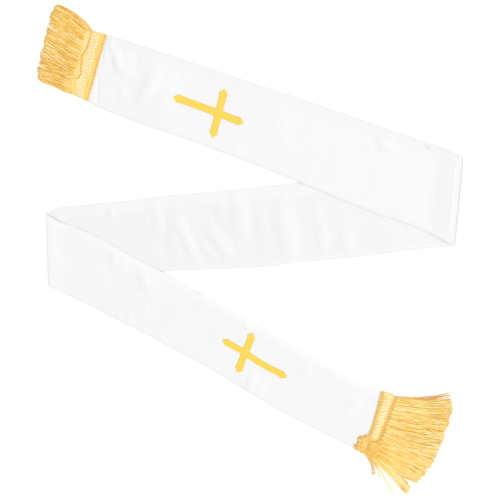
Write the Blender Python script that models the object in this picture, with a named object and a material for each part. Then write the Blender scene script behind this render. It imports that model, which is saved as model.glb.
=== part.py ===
"""A clerical stole: a long white satin band, folded twice into a Z and laid on a flat surface.

The band is a flattened tube. Its face turns under along both long edges, and a narrower back
strip lies between those margins. Each end of the face carries a gold cross and a gold fringe
on a woven heading. The upper and lower stretches lie face up on the middle one, whose back
shows.

Everything is worked out in the pattern of the band: u runs along it from the upper end to the
lower end, v runs across it, and n rises out of the face, all in millimetres. lay() folds the
pattern into its place on the surface, with the middle stretch along X and +Z up.
"""
import math

import bpy
import numpy as np

MM = 0.001

# The cut of the band, laid straight.
BAND_WIDTH = 104.0
UPPER_LENGTH = 525.0
MIDDLE_LENGTH = 604.0
LOWER_LENGTH = 532.5
HALF_WIDTH = BAND_WIDTH / 2
FOLD_1 = UPPER_LENGTH
FOLD_2 = FOLD_1 + MIDDLE_LENGTH
BAND_LENGTH = FOLD_2 + LOWER_LENGTH

# The cloth: a face wall and a back wall with a seam gap between them.
CLOTH = 2.3
SEAM_GAP = 0.3
SKIN = CLOTH / 2
INNER = SEAM_GAP / 2
WIDE_MARGIN = 16.0
NARROW_MARGIN = 5.0
EDGE_ROUND = 0.8

# How it is folded and laid. A fold is soft, so its middle surface turns on this radius.
FOLD_RADIUS = 3.0
FOLD_FALL = 30.0
LAYER_GAP = 0.4
BRIDGE = 15.0
STEP_DOWN = 80.0
MIDDLE_X = -2.76
MIDDLE_Y = 30.89

# Each fold: its place along the band, the lean of its crease, and the side of the middle
# stretch that it lies on.
FOLDS = (
    {"at": FOLD_1, "lean": 0.251, "side": 1},
    {"at": FOLD_2, "lean": 0.2915, "side": -1},
)

# Its three stretches: where each starts and stops, whether its face is up, and how many
# columns of faces its face wall and its back wall have.
STRETCHES = (
    {"name": "upper", "start": 0.0, "stop": FOLD_1, "up": 1, "face": 6, "back": 6},
    {"name": "middle", "start": FOLD_1, "stop": FOLD_2, "up": -1, "face": 8, "back": 8},
    {"name": "lower", "start": FOLD_2, "stop": BAND_LENGTH, "up": 1, "face": 6, "back": 6},
)
STRETCH_START = {stretch["name"]: stretch["start"] for stretch in STRETCHES}

# Sections along a stretch: their spacing across a ridge and elsewhere, their places at the end
# of the band, and as shares of a fold's turn and of the fall beside it.
FINE_SPACING = 8.5
COARSE_SPACING = 22.0
END_STATIONS = (0.0, 12.0)
TURN_STATIONS = (0.34, 0.67, 1.0)
FALL_STATIONS = (0.25, 0.5, 0.75, 1.0)

# The ends are gathered a little where the fringe is sewn on, and may be cut askew.
END_PULL_LENGTH = {"upper": 46.0, "lower": 150.0}
END_WIDTH = {"upper": 94.0, "lower": 98.0}
END_LEAN = {"upper": -0.073, "lower": 0.0}

# Where the cloth has crept sideways on the surface: a place along the band, how far the creep
# reaches each way, and how far each long edge moves in X and Y.
CREEP_COLUMNS = ("at", "reach", "wide_x", "wide_y", "narrow_x", "narrow_y")
CREEP = (
    (0, 150, -0.5, -2.0, 0.5, 0.0),
    (110, 150, 0.0, -0.5, 0.5, 1.0),
    (240, 160, 0.5, 1.0, 2.5, 4.5),
    (380, 170, 2.5, 2.5, 2.5, 3.0),
    (492, 66, 0.0, 1.0, 0.0, 5.5),
    (525, 170, 5.0, 0.5, -0.5, -1.0),
    (528, 34, 0.5, 0.0, 3.5, -1.8),
    (655, 90, 0.0, 0.0, 0.0, -3.0),
    (660, 170, 1.0, -2.5, 1.0, 1.0),
    (785, 100, 0.0, 1.8, 0.0, 0.0),
    (800, 180, 0.0, -2.5, 0.0, -4.0),
    (960, 60, 0.0, -1.8, 0.0, 0.0),
    (960, 190, 0.5, 6.5, 0.5, 5.0),
    (1066, 52, 0.0, 2.4, 0.0, 0.0),
    (1088, 36, 0.0, 3.0, 0.0, 0.0),
    (1129, 190, 2.5, 3.0, 1.5, 0.0),
    (1138, 22, 0.0, -3.0, 0.0, 0.0),
    (1144, 40, 0.0, 0.0, -0.5, 0.2),
    (1206, 60, 0.0, 2.8, 0.0, 0.0),
    (1250, 160, 3.0, 3.0, 3.0, 3.0),
    (1300, 70, 0.0, 2.2, 0.0, 0.0),
    (1390, 160, 1.5, 2.5, 2.5, 4.5),
    (1407, 60, 0.0, 0.5, 0.0, 1.5),
    (1530, 160, -1.5, -2.0, 0.0, 0.0),
    (1660, 160, -1.5, -2.0, 0.0, 0.0),
    (1670, 60, 2.5, 5.0, 0.5, 1.0),
)

# Soft ridges of the cloth on its upper side: which stretch, the distance from the start of
# that stretch, the place across, the slant from straight across, the length, width and height.
RIDGE_COLUMNS = ("stretch", "along", "across", "slant", "length", "width", "height")
RIDGES = (
    ("upper", 51, 20, -25, 44, 9, 1.9),
    ("upper", 66, -22, 8, 52, 10, 1.0),
    ("upper", 101, -2, 18, 104, 17, 2.6),
    ("upper", 243, -38, 30, 30, 10, 0.8),
    ("upper", 290, 8, -14, 70, 20, 1.1),
    ("upper", 419, 34, -30, 26, 9, 1.2),
    ("middle", 146, -24, -8, 54, 12, 0.8),
    ("middle", 177, -22, -8, 60, 12, 0.9),
    ("middle", 226, -5, -4, 110, 22, 2.2),
    ("middle", 284, 18, -6, 90, 18, 2.0),
    ("middle", 324, -12, 27, 84, 17, 2.0),
    ("middle", 370, -8, 10, 84, 14, 1.8),
    ("middle", 407, 22, -4, 56, 12, 1.3),
    ("middle", 478, 38, -2, 28, 9, 0.9),
    ("lower", 106, 34, -5, 34, 9, 1.3),
    ("lower", 158, 28, -25, 46, 12, 1.6),
    ("lower", 354, -34, 5, 44, 9, 1.8),
    ("lower", 493, 12, 16, 50, 14, 1.0),
)

# The cross: a long foot, a short head and two equal arms, all with barbed points. Each is laid
# at a place along and across the band, turned a little in degrees, with its foot towards one
# end, and bend is how far the foot's point strays across.
CROSS_REACH = {"foot": 66.0, "head": 36.0, "side": 34.5}
CROSS_BAR = 9.7
BARB_START = 10.5
BARB_BACK = 7.0
BARB_WIDTH = 12.0
CROSS_THICKNESS = 0.8
CROSSES = (
    {"name": "cross_upper", "along": 206.6, "across": -1.9, "turn": -1.4, "foot": -1, "bend": 0.0},
    {"name": "cross_lower", "along": 1460.0, "across": 3.1, "turn": -1.4, "foot": 1, "bend": 1.5},
)

# The fringe: a woven heading over the end of the band. For places across the end, from the
# narrow margin to the wide one: how far the heading reaches over the band, and past its end.
HEADING = {
    "upper": (
        (-1.00, 15.5, 4.5),
        (-0.80, 17.0, 10.0),
        (-0.50, 18.5, 12.5),
        (0.00, 21.4, 8.0),
        (1.00, 27.0, 3.0),
    ),
    "lower": (
        (-1.00, 14.0, 1.0),
        (-0.54, 13.5, 1.0),
        (-0.40, 4.0, 11.0),
        (-0.10, 4.5, 11.0),
        (1.00, 11.0, 8.5),
    ),
}
HEADING_SIDES = {"upper": (-50.0, 53.5), "lower": (-50.0, 54.0)}
HEADING_HEIGHT = 1.9
PICOT_DEPTH = 0.9

# Its strands, in an upper and a lower row. Each has come down to the surface at a share of
# its length.
STRAND_COLUMNS = 79
STRAND_WIDTH = 0.92
STRAND_HEIGHT = 0.8
STRAND_CLEARANCE = 0.25
STRAND_ROWS_APART = 1.15
STRAND_STATIONS = (0.15, 0.6, 1.0)
STRAND_LANDS = 0.72

# For places across the end: how far a strand turns away from the band's own direction as it
# sets off and as it ends, in degrees, and its length.
SPREAD = {
    "upper": (
        (-1.00, 1.0, -3.0, 59.5),
        (-0.75, -0.5, -1.5, 58.5),
        (-0.50, -3.0, -4.5, 55.5),
        (0.00, -7.0, -10.0, 58.0),
        (0.50, -11.0, -14.0, 57.5),
        (0.80, -17.0, -12.5, 58.0),
        (1.03, -26.0, -8.0, 56.5),
    ),
    "lower": (
        (-0.95, -30.0, -80.0, 34.0),
        (-0.925, -36.0, -46.0, 72.0),
        (-0.90, -24.0, -34.0, 73.0),
        (-0.82, -16.0, -25.0, 77.0),
        (-0.79, -7.5, -13.0, 77.0),
        (-0.76, -2.0, -4.0, 81.5),
        (-0.65, 3.5, 7.5, 83.5),
        (-0.50, 4.5, 9.0, 81.5),
        (-0.40, 5.5, 11.0, 74.0),
        (0.00, 8.5, 17.5, 75.5),
        (0.68, 13.0, 26.5, 76.0),
        (1.03, 17.0, 35.0, 71.5),
    ),
}


# Looks, each a colour and a roughness.
WHITE = ((0.93, 0.93, 0.925), 0.5)
OFF_WHITE = ((0.88, 0.88, 0.875), 0.5)
GOLD = ((1.0, 0.69, 0.08), 0.6)
FRINGE_GOLD = ((0.95, 0.6, 0.14), 0.7)
SHARP_ANGLE = 40.0


def smooth(x):
    """Rises softly from 0 to 1 as x does."""
    x = np.clip(x, 0, 1)
    return x * x * (3 - 2 * x)


def bump(x):
    """A soft hump of height 1 over -1 to 1."""
    return np.clip(1 - x * x, 0, None) ** 2


def narrowing(u):
    """The band's width at u, as a share of its full width."""
    upper = 1 - smooth(u / END_PULL_LENGTH["upper"])
    lower = 1 - smooth((BAND_LENGTH - u) / END_PULL_LENGTH["lower"])
    return (
        1
        - upper * (1 - END_WIDTH["upper"] / BAND_WIDTH)
        - lower * (1 - END_WIDTH["lower"] / BAND_WIDTH)
    )


def creep(u, v):
    """How far the cloth at (u, v) has crept in X and in Y."""
    wide = v / BAND_WIDTH + 0.5
    moved = np.zeros(u.shape + (2,))
    for values in CREEP:
        row = dict(zip(CREEP_COLUMNS, values))
        share = bump((u - row["at"]) / row["reach"])
        moved[..., 0] += share * (wide * row["wide_x"] + (1 - wide) * row["narrow_x"])
        moved[..., 1] += share * (wide * row["wide_y"] + (1 - wide) * row["narrow_y"])
    return moved


def ridges(u, v):
    """The height of the soft ridges at (u, v)."""
    height = np.zeros(u.shape)
    for values in RIDGES:
        row = dict(zip(RIDGE_COLUMNS, values))
        slant = math.radians(row["slant"])
        du = u - STRETCH_START[row["stretch"]] - row["along"]
        dv = v - row["across"]
        along = dv * math.cos(slant) + du * math.sin(slant)
        across = du * math.cos(slant) - dv * math.sin(slant)
        height += row["height"] * bump(2 * along / row["length"]) * bump(across / row["width"])
    return height


def lay(u, v, n, raised):
    """Points of the folded stole, in metres, for places (u, v) of the pattern and heights n
    out of the face. raised is 1 on the side that is uppermost, which the ridges lift."""
    u, v, n, raised = np.broadcast_arrays(*(np.asarray(a, float) for a in (u, v, n, raised)))
    first = u < (FOLD_1 + FOLD_2) / 2
    at = np.where(first, FOLDS[0]["at"], FOLDS[1]["at"])
    lean = np.where(first, FOLDS[0]["lean"], FOLDS[1]["lean"])
    side = np.where(first, FOLDS[0]["side"], FOLDS[1]["side"])
    crease_x = MIDDLE_X + side * MIDDLE_LENGTH / 2

    # the crease runs along (lean, 1), and beyond is measured square to it
    x, y = at - u, v * narrowing(u)
    rise, run = 1 / np.hypot(1, lean), lean / np.hypot(1, lean)
    beyond = side * (x * rise - y * run)
    beside = x * run + y * rise

    # a half turn about the crease, and flat cloth before and after it
    half_turn = math.pi * FOLD_RADIUS / 2
    turn = np.clip((beyond + half_turn) / FOLD_RADIUS, 0, math.pi)
    over = np.clip(beyond - half_turn, 0, None)
    out = np.clip(beyond + half_turn, None, 0) - half_turn - over
    out = out + (FOLD_RADIUS + n) * np.sin(turn)
    plan_x = crease_x + side * out * rise + beside * run
    plan_y = -side * out * run + beside * rise

    # the top layer falls from the fold onto the middle stretch, then down past its edge
    past_edge = side * plan_y - HALF_WIDTH - BRIDGE
    resting = (CLOTH + LAYER_GAP) * (1 - smooth(past_edge / STEP_DOWN))
    fall = smooth(over / FOLD_FALL)
    top = 2 * FOLD_RADIUS * (1 - fall) + resting * fall
    middle = FOLD_RADIUS * (1 - np.cos(turn))
    height = SKIN + np.where(over > 0, top, middle) - n * np.cos(turn)
    height = height + raised * ridges(u, v)

    moved = creep(u, v)
    return np.stack(
        [plan_x + moved[..., 0], plan_y + MIDDLE_Y + moved[..., 1], height], axis=-1
    ) * MM


def material(name, look):
    colour, roughness = look
    made = bpy.data.materials.new(name)
    made.use_nodes = True
    shader = made.node_tree.nodes["Principled BSDF"]
    shader.inputs["Base Color"].default_value = (*colour, 1)
    shader.inputs["Roughness"].default_value = roughness
    return made


def volume(points, faces):
    """Six times the volume that the faces enclose, above 0 when they point out."""
    total = 0.0
    for face in faces:
        a = points[face[0]]
        for i in range(1, len(face) - 1):
            total += float(np.dot(a, np.cross(points[face[i]], points[face[i + 1]])))
    return total


def add(name, points, faces, look):
    """One named object from points and faces, all faces turned outwards."""
    points = np.asarray(points).reshape(-1, 3)
    if volume(points - points.mean(axis=0), faces) < 0:
        faces = [face[:1] + face[:0:-1] for face in faces]
    mesh = bpy.data.meshes.new(name)
    mesh.from_pydata(points.tolist(), [], faces)
    mesh.shade_smooth()
    mesh.set_sharp_from_angle(angle=math.radians(SHARP_ANGLE))
    mesh.materials.append(material(name, look))
    made = bpy.data.objects.new(name, mesh)
    bpy.context.scene.collection.objects.link(made)
    return made


def loft(rings, v):
    """Faces between closed rings of equally many points, with a cap on each end. Every quad is
    split along the same diagonal of the pattern, so that walls that face each other match."""
    count, around = rings.shape[:2]
    faces = []
    for i in range(count - 1):
        for j in range(around):
            k = (j + 1) % around
            here, there = i * around, (i + 1) * around
            quad = [here + j, here + k, there + k, there + j]
            faces.append(quad if v[k] > v[j] else quad[1:] + quad[:1])
    faces.append(list(range(around))[::-1])
    faces.append([(count - 1) * around + j for j in range(around)])
    return faces


def ridge_here(stretch, along):
    """Whether a ridge of the stretch crosses the section at this distance along it."""
    for values in RIDGES:
        row = dict(zip(RIDGE_COLUMNS, values))
        slant = math.radians(row["slant"])
        reach = row["length"] / 2 * abs(math.sin(slant)) + row["width"] * math.cos(slant)
        if row["stretch"] == stretch and abs(along - row["along"]) < reach:
            return True
    return False


def stations(stretch):
    """Distances of the sections along a stretch: close together round a fold, where the cloth
    falls from it and across the ridges, and further apart elsewhere."""
    length = stretch["stop"] - stretch["start"]
    half_turn = math.pi * FOLD_RADIUS / 2
    by_fold = [SEAM_GAP / 2] + [half_turn * share for share in TURN_STATIONS]
    by_fold += [half_turn + FOLD_FALL * share for share in FALL_STATIONS]
    first = END_STATIONS if stretch["start"] == 0 else by_fold
    last = END_STATIONS if stretch["stop"] == BAND_LENGTH else by_fold
    places, stop = list(first), length - last[-1]
    while places[-1] < stop:
        near = ridge_here(stretch["name"], places[-1] + FINE_SPACING / 2)
        places.append(places[-1] + (FINE_SPACING if near else COARSE_SPACING))
    if stop - places[-2] < FINE_SPACING / 2:
        places.pop()
    places[-1] = stop
    return np.array(places[:-1] + [length - d for d in reversed(last)])


def face_section(up, columns):
    """The face's section as rows of (v, n, raised): the outer side from the narrow margin to
    the wide one, round the wide margin, back along the inner side and round the narrow one."""
    wide_in = HALF_WIDTH - WIDE_MARGIN
    narrow_in = -HALF_WIDTH + NARROW_MARGIN
    face_up = 1.0 if up > 0 else 0.0
    across = np.linspace(narrow_in, wide_in, columns + 1)
    outer = [(v, SKIN, face_up) for v in across]
    inner = [(v, INNER, face_up) for v in across[::-1]]
    round_wide = [
        (HALF_WIDTH - EDGE_ROUND, SKIN, face_up),
        (HALF_WIDTH, 0.0, 0.0),
        (HALF_WIDTH - EDGE_ROUND, -SKIN, 1 - face_up),
        (wide_in, -SKIN, 1 - face_up),
    ]
    round_narrow = [
        (narrow_in, -SKIN, 1 - face_up),
        (EDGE_ROUND - HALF_WIDTH, -SKIN, 1 - face_up),
        (-HALF_WIDTH, 0.0, 0.0),
        (EDGE_ROUND - HALF_WIDTH, SKIN, face_up),
    ]
    return outer + round_wide + inner + round_narrow


def back_section(up, columns):
    """The back strip's section, which fills the space between the two margins."""
    wide_in = HALF_WIDTH - WIDE_MARGIN - SEAM_GAP
    narrow_in = -HALF_WIDTH + NARROW_MARGIN + SEAM_GAP
    back_up = 0.0 if up > 0 else 1.0
    across = np.linspace(narrow_in, wide_in, columns + 1)
    inner = [(v, -INNER, back_up) for v in across]
    outer = [(v, -SKIN, back_up) for v in across[::-1]]
    return inner + outer


def wall(name, section, columns, stretch, look):
    """One stretch of the face or of the back, parted from the next by a seam gap at the fold."""
    leans = {
        0.0: END_LEAN["upper"],
        FOLD_1: FOLDS[0]["lean"],
        FOLD_2: FOLDS[1]["lean"],
        BAND_LENGTH: END_LEAN["lower"],
    }
    start_lean, stop_lean = leans[stretch["start"]], leans[stretch["stop"]]
    along = stations(stretch)
    share = smooth(along / along[-1])
    lean = (start_lean + (stop_lean - start_lean) * share)[:, None]
    v, n, raised = np.array(section(stretch["up"], columns)).T
    rings = lay(stretch["start"] + along[:, None] - lean * v, v[None], n[None], raised[None])
    return add(name, rings, loft(rings, v), look)


def cross(place):
    """A flat cross from points of the face, raised a seam gap above it."""
    low, high = SKIN + SEAM_GAP, SKIN + SEAM_GAP + CROSS_THICKNESS
    half, barb = CROSS_BAR / 2, BARB_WIDTH / 2
    outline, arms = [(half, -half), (half, half), (-half, half), (-half, -half)], []
    for quarter, reach in enumerate(("head", "side", "foot", "side")):
        length = CROSS_REACH[reach]
        profile = (
            (length - BARB_START, -half),
            (length - BARB_BACK, -barb),
            (length, 0.0),
            (length - BARB_BACK, barb),
            (length - BARB_START, half),
        )
        first = len(outline)
        outline += [turned(p, math.pi / 2 * quarter) for p in profile]
        arms.append([quarter, first, first + 4, (quarter + 1) % 4])
        arms.append([first, first + 1, first + 2, first + 3, first + 4])
    flats = [[0, 1, 2, 3]] + arms
    turn = math.radians(place["turn"]) + (math.pi if place["foot"] > 0 else 0)
    shape = np.array([turned(p, turn) for p in outline])
    down_foot = np.clip(place["foot"] * shape[:, 0] / CROSS_REACH["foot"], 0, None)
    u = place["along"] + shape[:, 0]
    v = place["across"] + shape[:, 1] + place["bend"] * down_foot**2
    count = len(shape)
    points = np.concatenate([lay(u, v, low, 1), lay(u, v, high, 1)])
    faces = [[i + count for i in flat] for flat in flats] + [flat[::-1] for flat in flats]
    edges = {(flat[i - 1], flat[i]) for flat in flats for i in range(len(flat))}
    faces += [[a, b, b + count, a + count] for a, b in edges if (b, a) not in edges]
    return add(place["name"], points, sorted(faces), GOLD)


def turned(point, angle):
    x, y = point
    return (
        x * math.cos(angle) - y * math.sin(angle),
        x * math.sin(angle) + y * math.cos(angle),
    )


def fringe(end):
    """A heading across the end of the band, with strands growing out of its outer wall, from
    its lower half in one column and from its upper half in the next."""
    outward, edge = (-1, 0.0) if end == "upper" else (1, BAND_LENGTH)
    across = np.linspace(*HEADING_SIDES[end], STRAND_COLUMNS + 1)
    place, over, past = np.array(HEADING[end]).T
    picot = PICOT_DEPTH * (np.arange(STRAND_COLUMNS + 1) % 2)
    inner = edge - outward * (np.interp(across / HALF_WIDTH, place, over) - picot)
    outer = edge + outward * np.interp(across / HALF_WIDTH, place, past)
    low = SKIN + SEAM_GAP
    middle, high = low + HEADING_HEIGHT / 2, low + HEADING_HEIGHT
    corners = ((inner, low), (inner, high), (outer, high), (outer, middle), (outer, low))
    section = np.stack([lay(u, across, n, 1) for u, n in corners], axis=1)
    points, around = list(section.reshape(-1, 3)), len(corners)
    last = STRAND_COLUMNS * around
    faces = [list(range(around)), list(range(last + around - 1, last - 1, -1))]
    for j in range(STRAND_COLUMNS):
        grows = 3 if j % 2 == 0 else 2
        for k in range(around):
            a, b = j * around + k, j * around + (k + 1) % around
            quad = [a, a + around, b + around, b]
            if k == grows:
                faces += strand(points, quad, end, across[j : j + 2].mean())
            else:
                faces.append(quad)
    return add(f"fringe_{end}", points, faces, FRINGE_GOLD)


def strand(points, root, end, v):
    """Adds one strand to points, as a tube of four sides that starts on the root's corners and
    comes down to just above the surface, and returns its faces."""
    outward, edge = (-1, 0.0) if end == "upper" else (1, BAND_LENGTH)
    place, *columns = np.array(SPREAD[end]).T
    first_turn, last_turn, length = (np.interp(v / HALF_WIDTH, place, c) for c in columns)
    corners = np.array([points[i] for i in root])
    start = corners.mean(axis=0)
    from_fold = lay(edge, 0, 0, 0) - lay(edge - outward * HALF_WIDTH, 0, 0, 0)
    heading = math.atan2(from_fold[1], from_fold[0])
    beside = np.array([-math.sin(heading), math.cos(heading), 0.0])
    sides = np.sign((corners - start) @ beside)
    ups = np.sign(corners[:, 2] - start[2])
    in_upper_row = start[2] / MM > CLOTH + SEAM_GAP + HEADING_HEIGHT / 2
    rest = STRAND_CLEARANCE + STRAND_HEIGHT / 2
    spot, done, rings, faces = start.copy(), 0.0, [root], []
    for station in STRAND_STATIONS:
        turn = np.interp((station + done) / 2, (0, 1), (first_turn, last_turn))
        angle = heading + math.radians(turn)
        ahead = np.array([math.cos(angle), math.sin(angle), 0.0])
        aside = np.array([-math.sin(angle), math.cos(angle), 0.0]) * STRAND_WIDTH / 2 * MM
        spot = spot + (station - done) * length * MM * ahead
        done = station
        fallen = float(smooth(station / STRAND_LANDS))
        lying = rest + STRAND_ROWS_APART * (1 - station**3) * in_upper_row
        spot[2] = start[2] * (1 - fallen) + lying * MM * fallen
        upright = np.array([0, 0, STRAND_HEIGHT / 2 * MM])
        rings.append(list(range(len(points), len(points) + 4)))
        points += [spot + side * aside + up * upright for side, up in zip(sides, ups)]
    for a, b in zip(rings, rings[1:]):
        faces += [[a[i - 1], a[i], b[i], b[i - 1]] for i in range(4)]
    return faces + [rings[-1]]


def main():
    for old in list(bpy.data.objects):
        bpy.data.objects.remove(old, do_unlink=True)
    for stretch in STRETCHES:
        name = stretch["name"]
        wall(f"face_{name}", face_section, stretch["face"], stretch, WHITE)
        wall(f"back_{name}", back_section, stretch["back"], stretch, OFF_WHITE)
    for place in CROSSES:
        cross(place)
    for end in ("upper", "lower"):
        fringe(end)


main()
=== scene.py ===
# %% [markdown]
# # A clerical stole, folded into a Z
#
# A stole is one long narrow band of cloth, worn round the neck with its two ends hanging down.
# This one is white satin with a gold cross and a gold fringe at each end. It lies folded twice,
# so that the ends show their faces and the middle shows its back.
#
# The packed solids are loaded first. They fix every size and place, and the pieces below
# replace them with cloth, thread and trim of the same form.

# %% The frame
import math

import bpy
import numpy as np
from mathutils import Matrix, Vector


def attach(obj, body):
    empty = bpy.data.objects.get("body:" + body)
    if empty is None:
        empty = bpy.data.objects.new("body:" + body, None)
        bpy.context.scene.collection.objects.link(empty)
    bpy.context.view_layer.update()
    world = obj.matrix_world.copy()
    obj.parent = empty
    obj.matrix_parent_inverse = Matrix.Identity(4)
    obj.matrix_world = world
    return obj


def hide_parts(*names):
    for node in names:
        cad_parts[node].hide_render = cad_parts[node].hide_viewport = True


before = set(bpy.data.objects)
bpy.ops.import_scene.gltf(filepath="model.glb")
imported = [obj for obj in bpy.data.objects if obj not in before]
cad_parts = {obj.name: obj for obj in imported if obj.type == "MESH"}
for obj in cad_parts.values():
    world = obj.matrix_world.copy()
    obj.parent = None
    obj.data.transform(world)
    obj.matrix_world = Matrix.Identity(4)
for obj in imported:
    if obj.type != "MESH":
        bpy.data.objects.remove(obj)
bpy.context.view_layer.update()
print("nodes:", ", ".join(sorted(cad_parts)))

# %% [markdown]
# ## The camera
#
# The camera looks down on the stole from its right, about 60 degrees above the surface. A
# camera can be aimed with a Track To constraint, but a written-out turn is exact and also
# keeps its small tilt: the back of the camera and its top are two known directions, and the
# third follows from them as their cross product.

# %% The camera
CAMERA_PLACE = Vector((0.60444, 0.29019, 1.1178))
CAMERA_BACK = Vector((0.4527, 0.2242, 0.8630)).normalized()
CAMERA_TOP = Vector((0.0958, 0.9503, -0.2970))
CAMERA_LENS, CAMERA_NEAREST = 71.3, 0.01


def added(thing):
    """An object, once it is linked to the scene."""
    bpy.context.scene.collection.objects.link(thing)
    return thing


def aimed(place, back, top):
    """The matrix of a camera or lamp that looks away from back, with top upwards."""
    right = top.cross(back).normalized()
    turned = Matrix((right, back.cross(right), back)).transposed()
    return Matrix.Translation(place) @ turned.to_4x4()


camera = added(bpy.data.objects.new("camera", bpy.data.cameras.new("camera")))
camera.data.lens = CAMERA_LENS
camera.data.clip_start = CAMERA_NEAREST
camera.matrix_world = aimed(CAMERA_PLACE, CAMERA_BACK, CAMERA_TOP)
bpy.context.scene.camera = camera
print("camera", [round(x, 3) for x in camera.matrix_world.translation])

# %% [markdown]
# ## The pattern of the band
#
# A tailor draws the band flat and folds it later, and so does this script. Every point of the
# stole has a place in the flat pattern: u runs along the band from the upper end to the lower
# end, v runs across it and n rises out of its face, all in millimetres. The satin is a strip
# that turns under along both long edges, and a narrower strip closes the back between those
# margins.

# %% The cut
MM = 0.001
BAND_WIDTH = 104.0
HALF_WIDTH = BAND_WIDTH / 2
FOLD_1, FOLD_2, BAND_LENGTH = 525.0, 1129.0, 1661.5
STRETCH_START = {"upper": 0.0, "middle": FOLD_1, "lower": FOLD_2}
STRETCH_LENGTH = {"upper": FOLD_1, "middle": FOLD_2 - FOLD_1, "lower": BAND_LENGTH - FOLD_2}
WIDE_MARGIN, NARROW_MARGIN = 16.0, 5.0
WIDE_IN, NARROW_IN = HALF_WIDTH - WIDE_MARGIN, NARROW_MARGIN - HALF_WIDTH

# The wall's two sides, from the middle of the tube, and the height of both walls together.
SKIN, INNER = 1.15, 0.15
CLOTH = 2 * SKIN
# The gap under what is sewn on the face, and how far the back strip laps into the margins and
# lies below them.
SEAM_GAP, SEWN_LAP, SEWN_LOW = 0.3, 0.25, 0.03

# The folds: their radius, the run in which the upper layer sinks onto the lower one, and the
# gap that stays. Then how far it bridges past the edge below, and the run down from there.
FOLD_RADIUS, FOLD_FALL, LAYER_GAP = 2.2, 30.0, 0.1
BRIDGE, STEP_DOWN = 15.0, 80.0
# Beside a covering layer, creases start this far from its edge and are whole this much later.
CLEAR_FROM, CLEAR_RUN = 2, 8
# Where the middle stretch is centred, and the tangent of each crease's angle from square.
MIDDLE_X, MIDDLE_Y = -2.76, 30.89
LEAN_1, LEAN_2 = 0.251, 0.2915
print(f"a band of {BAND_LENGTH:.1f} x {BAND_WIDTH:.0f} mm")

# %% [markdown]
# The folded band isn't quite straight: the fringe draws its ends in, and the cloth has crept
# a little as it was folded and laid. A lattice could bend the finished mesh, but a table of
# soft humps is easier to check. Each row moves both edges near one place along the band, and
# the cloth between them moves in proportion.

# %% Narrow ends and crept edges
# The length that each fringe draws in, and the width there.
END_PULL = {"upper": 46.0, "lower": 150.0}
END_WIDTH = {"upper": 94.0, "lower": 98.0}

# at, reach, and how far the wide margin and the narrow one have crept in X and Y
CREEP = np.array([
    (0, 150, -0.5, -2.0, 0.5, 0.0),
    (110, 150, 0.0, -0.5, 0.5, 1.0),
    (240, 160, 0.5, 1.0, 2.5, 4.5),
    (380, 170, 2.5, 2.5, 2.5, 3.0),
    (492, 66, 0.0, 1.0, 0.0, 5.5),
    (525, 170, 5.0, 0.5, -0.5, -1.0),
    (528, 34, 0.5, 0.0, 3.5, -1.8),
    (655, 90, 0.0, 0.0, 0.0, -3.0),
    (660, 170, 1.0, -2.5, 1.0, 1.0),
    (785, 100, 0.0, 1.8, 0.0, 0.0),
    (800, 180, 0.0, -2.5, 0.0, -4.0),
    (960, 60, 0.0, -1.8, 0.0, 0.0),
    (960, 190, 0.5, 6.5, 0.5, 5.0),
    (1066, 52, 0.0, 2.4, 0.0, 0.0),
    (1088, 36, 0.0, 3.0, 0.0, 0.0),
    (1129, 190, 2.5, 3.0, 1.5, 0.0),
    (1138, 22, 0.0, -3.0, 0.0, 0.0),
    (1144, 40, 0.0, 0.0, -0.5, 0.2),
    (1206, 60, 0.0, 2.8, 0.0, 0.0),
    (1250, 160, 3.0, 3.0, 3.0, 3.0),
    (1300, 70, 0.0, 2.2, 0.0, 0.0),
    (1390, 160, 1.5, 2.5, 2.5, 4.5),
    (1407, 60, 0.0, 0.5, 0.0, 1.5),
    (1530, 160, -1.5, -2.0, 0.0, 0.0),
    (1660, 160, -1.5, -2.0, 0.0, 0.0),
    (1670, 60, 2.5, 5.0, 0.5, 1.0),
])


def smooth(x):
    """Rises softly from 0 to 1 as x does."""
    x = np.clip(x, 0, 1)
    return x * x * (3 - 2 * x)


def bump(x):
    """A soft hump of height 1 over -1 to 1."""
    return np.clip(1 - x * x, 0, None) ** 2


def narrowing(u):
    """The band's width at u, as a share of its full width: less at the gathered ends."""
    upper = 1 - smooth(u / END_PULL["upper"])
    lower = 1 - smooth((BAND_LENGTH - u) / END_PULL["lower"])
    return (
        1
        - upper * (1 - END_WIDTH["upper"] / BAND_WIDTH)
        - lower * (1 - END_WIDTH["lower"] / BAND_WIDTH)
    )


def creep(u, v):
    """How far the cloth at (u, v) has crept in X and in Y: a hump for each row of CREEP,
    mixed across the band from the narrow margin's move to the wide margin's."""
    wide = v / BAND_WIDTH + 0.5
    moved = np.zeros(u.shape + (2,))
    for at, reach, *move in CREEP:
        share = bump((u - at) / reach)
        for axis in (0, 1):
            moved[..., axis] += share * (wide * move[axis] + (1 - wide) * move[2 + axis])
    return moved


reaches = CREEP[:, 1]
print(f"{len(CREEP)} shifts, each over {reaches.min():.0f} to {reaches.max():.0f} mm")

# %% [markdown]
# ## Folding the pattern
#
# Cloth simulation could fold the band, but it would not stop exactly where the real one lies.
# Here each fold is a half turn about its crease, on a small radius because satin over
# interlining does not crease sharply. Past the fold the upper layer sinks onto the layer
# below, and past the edge of that layer it sinks to the surface.

# %% The fold


def past_fold(u, v):
    """How far (u, v) is past the crease of the fold nearest to it, square to the crease, and
    how far along the crease. Also the fold's side, its crease's X, and its rise and run."""
    first = u < (FOLD_1 + FOLD_2) / 2
    at = np.where(first, FOLD_1, FOLD_2)
    lean = np.where(first, LEAN_1, LEAN_2)
    side = np.where(first, 1, -1)
    rise, run = 1 / np.hypot(1, lean), lean / np.hypot(1, lean)
    x, y = at - u, v * narrowing(u)
    beyond = side * (x * rise - y * run)
    beside = x * run + y * rise
    return beyond, beside, side, MIDDLE_X + side * STRETCH_LENGTH["middle"] / 2, rise, run


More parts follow.
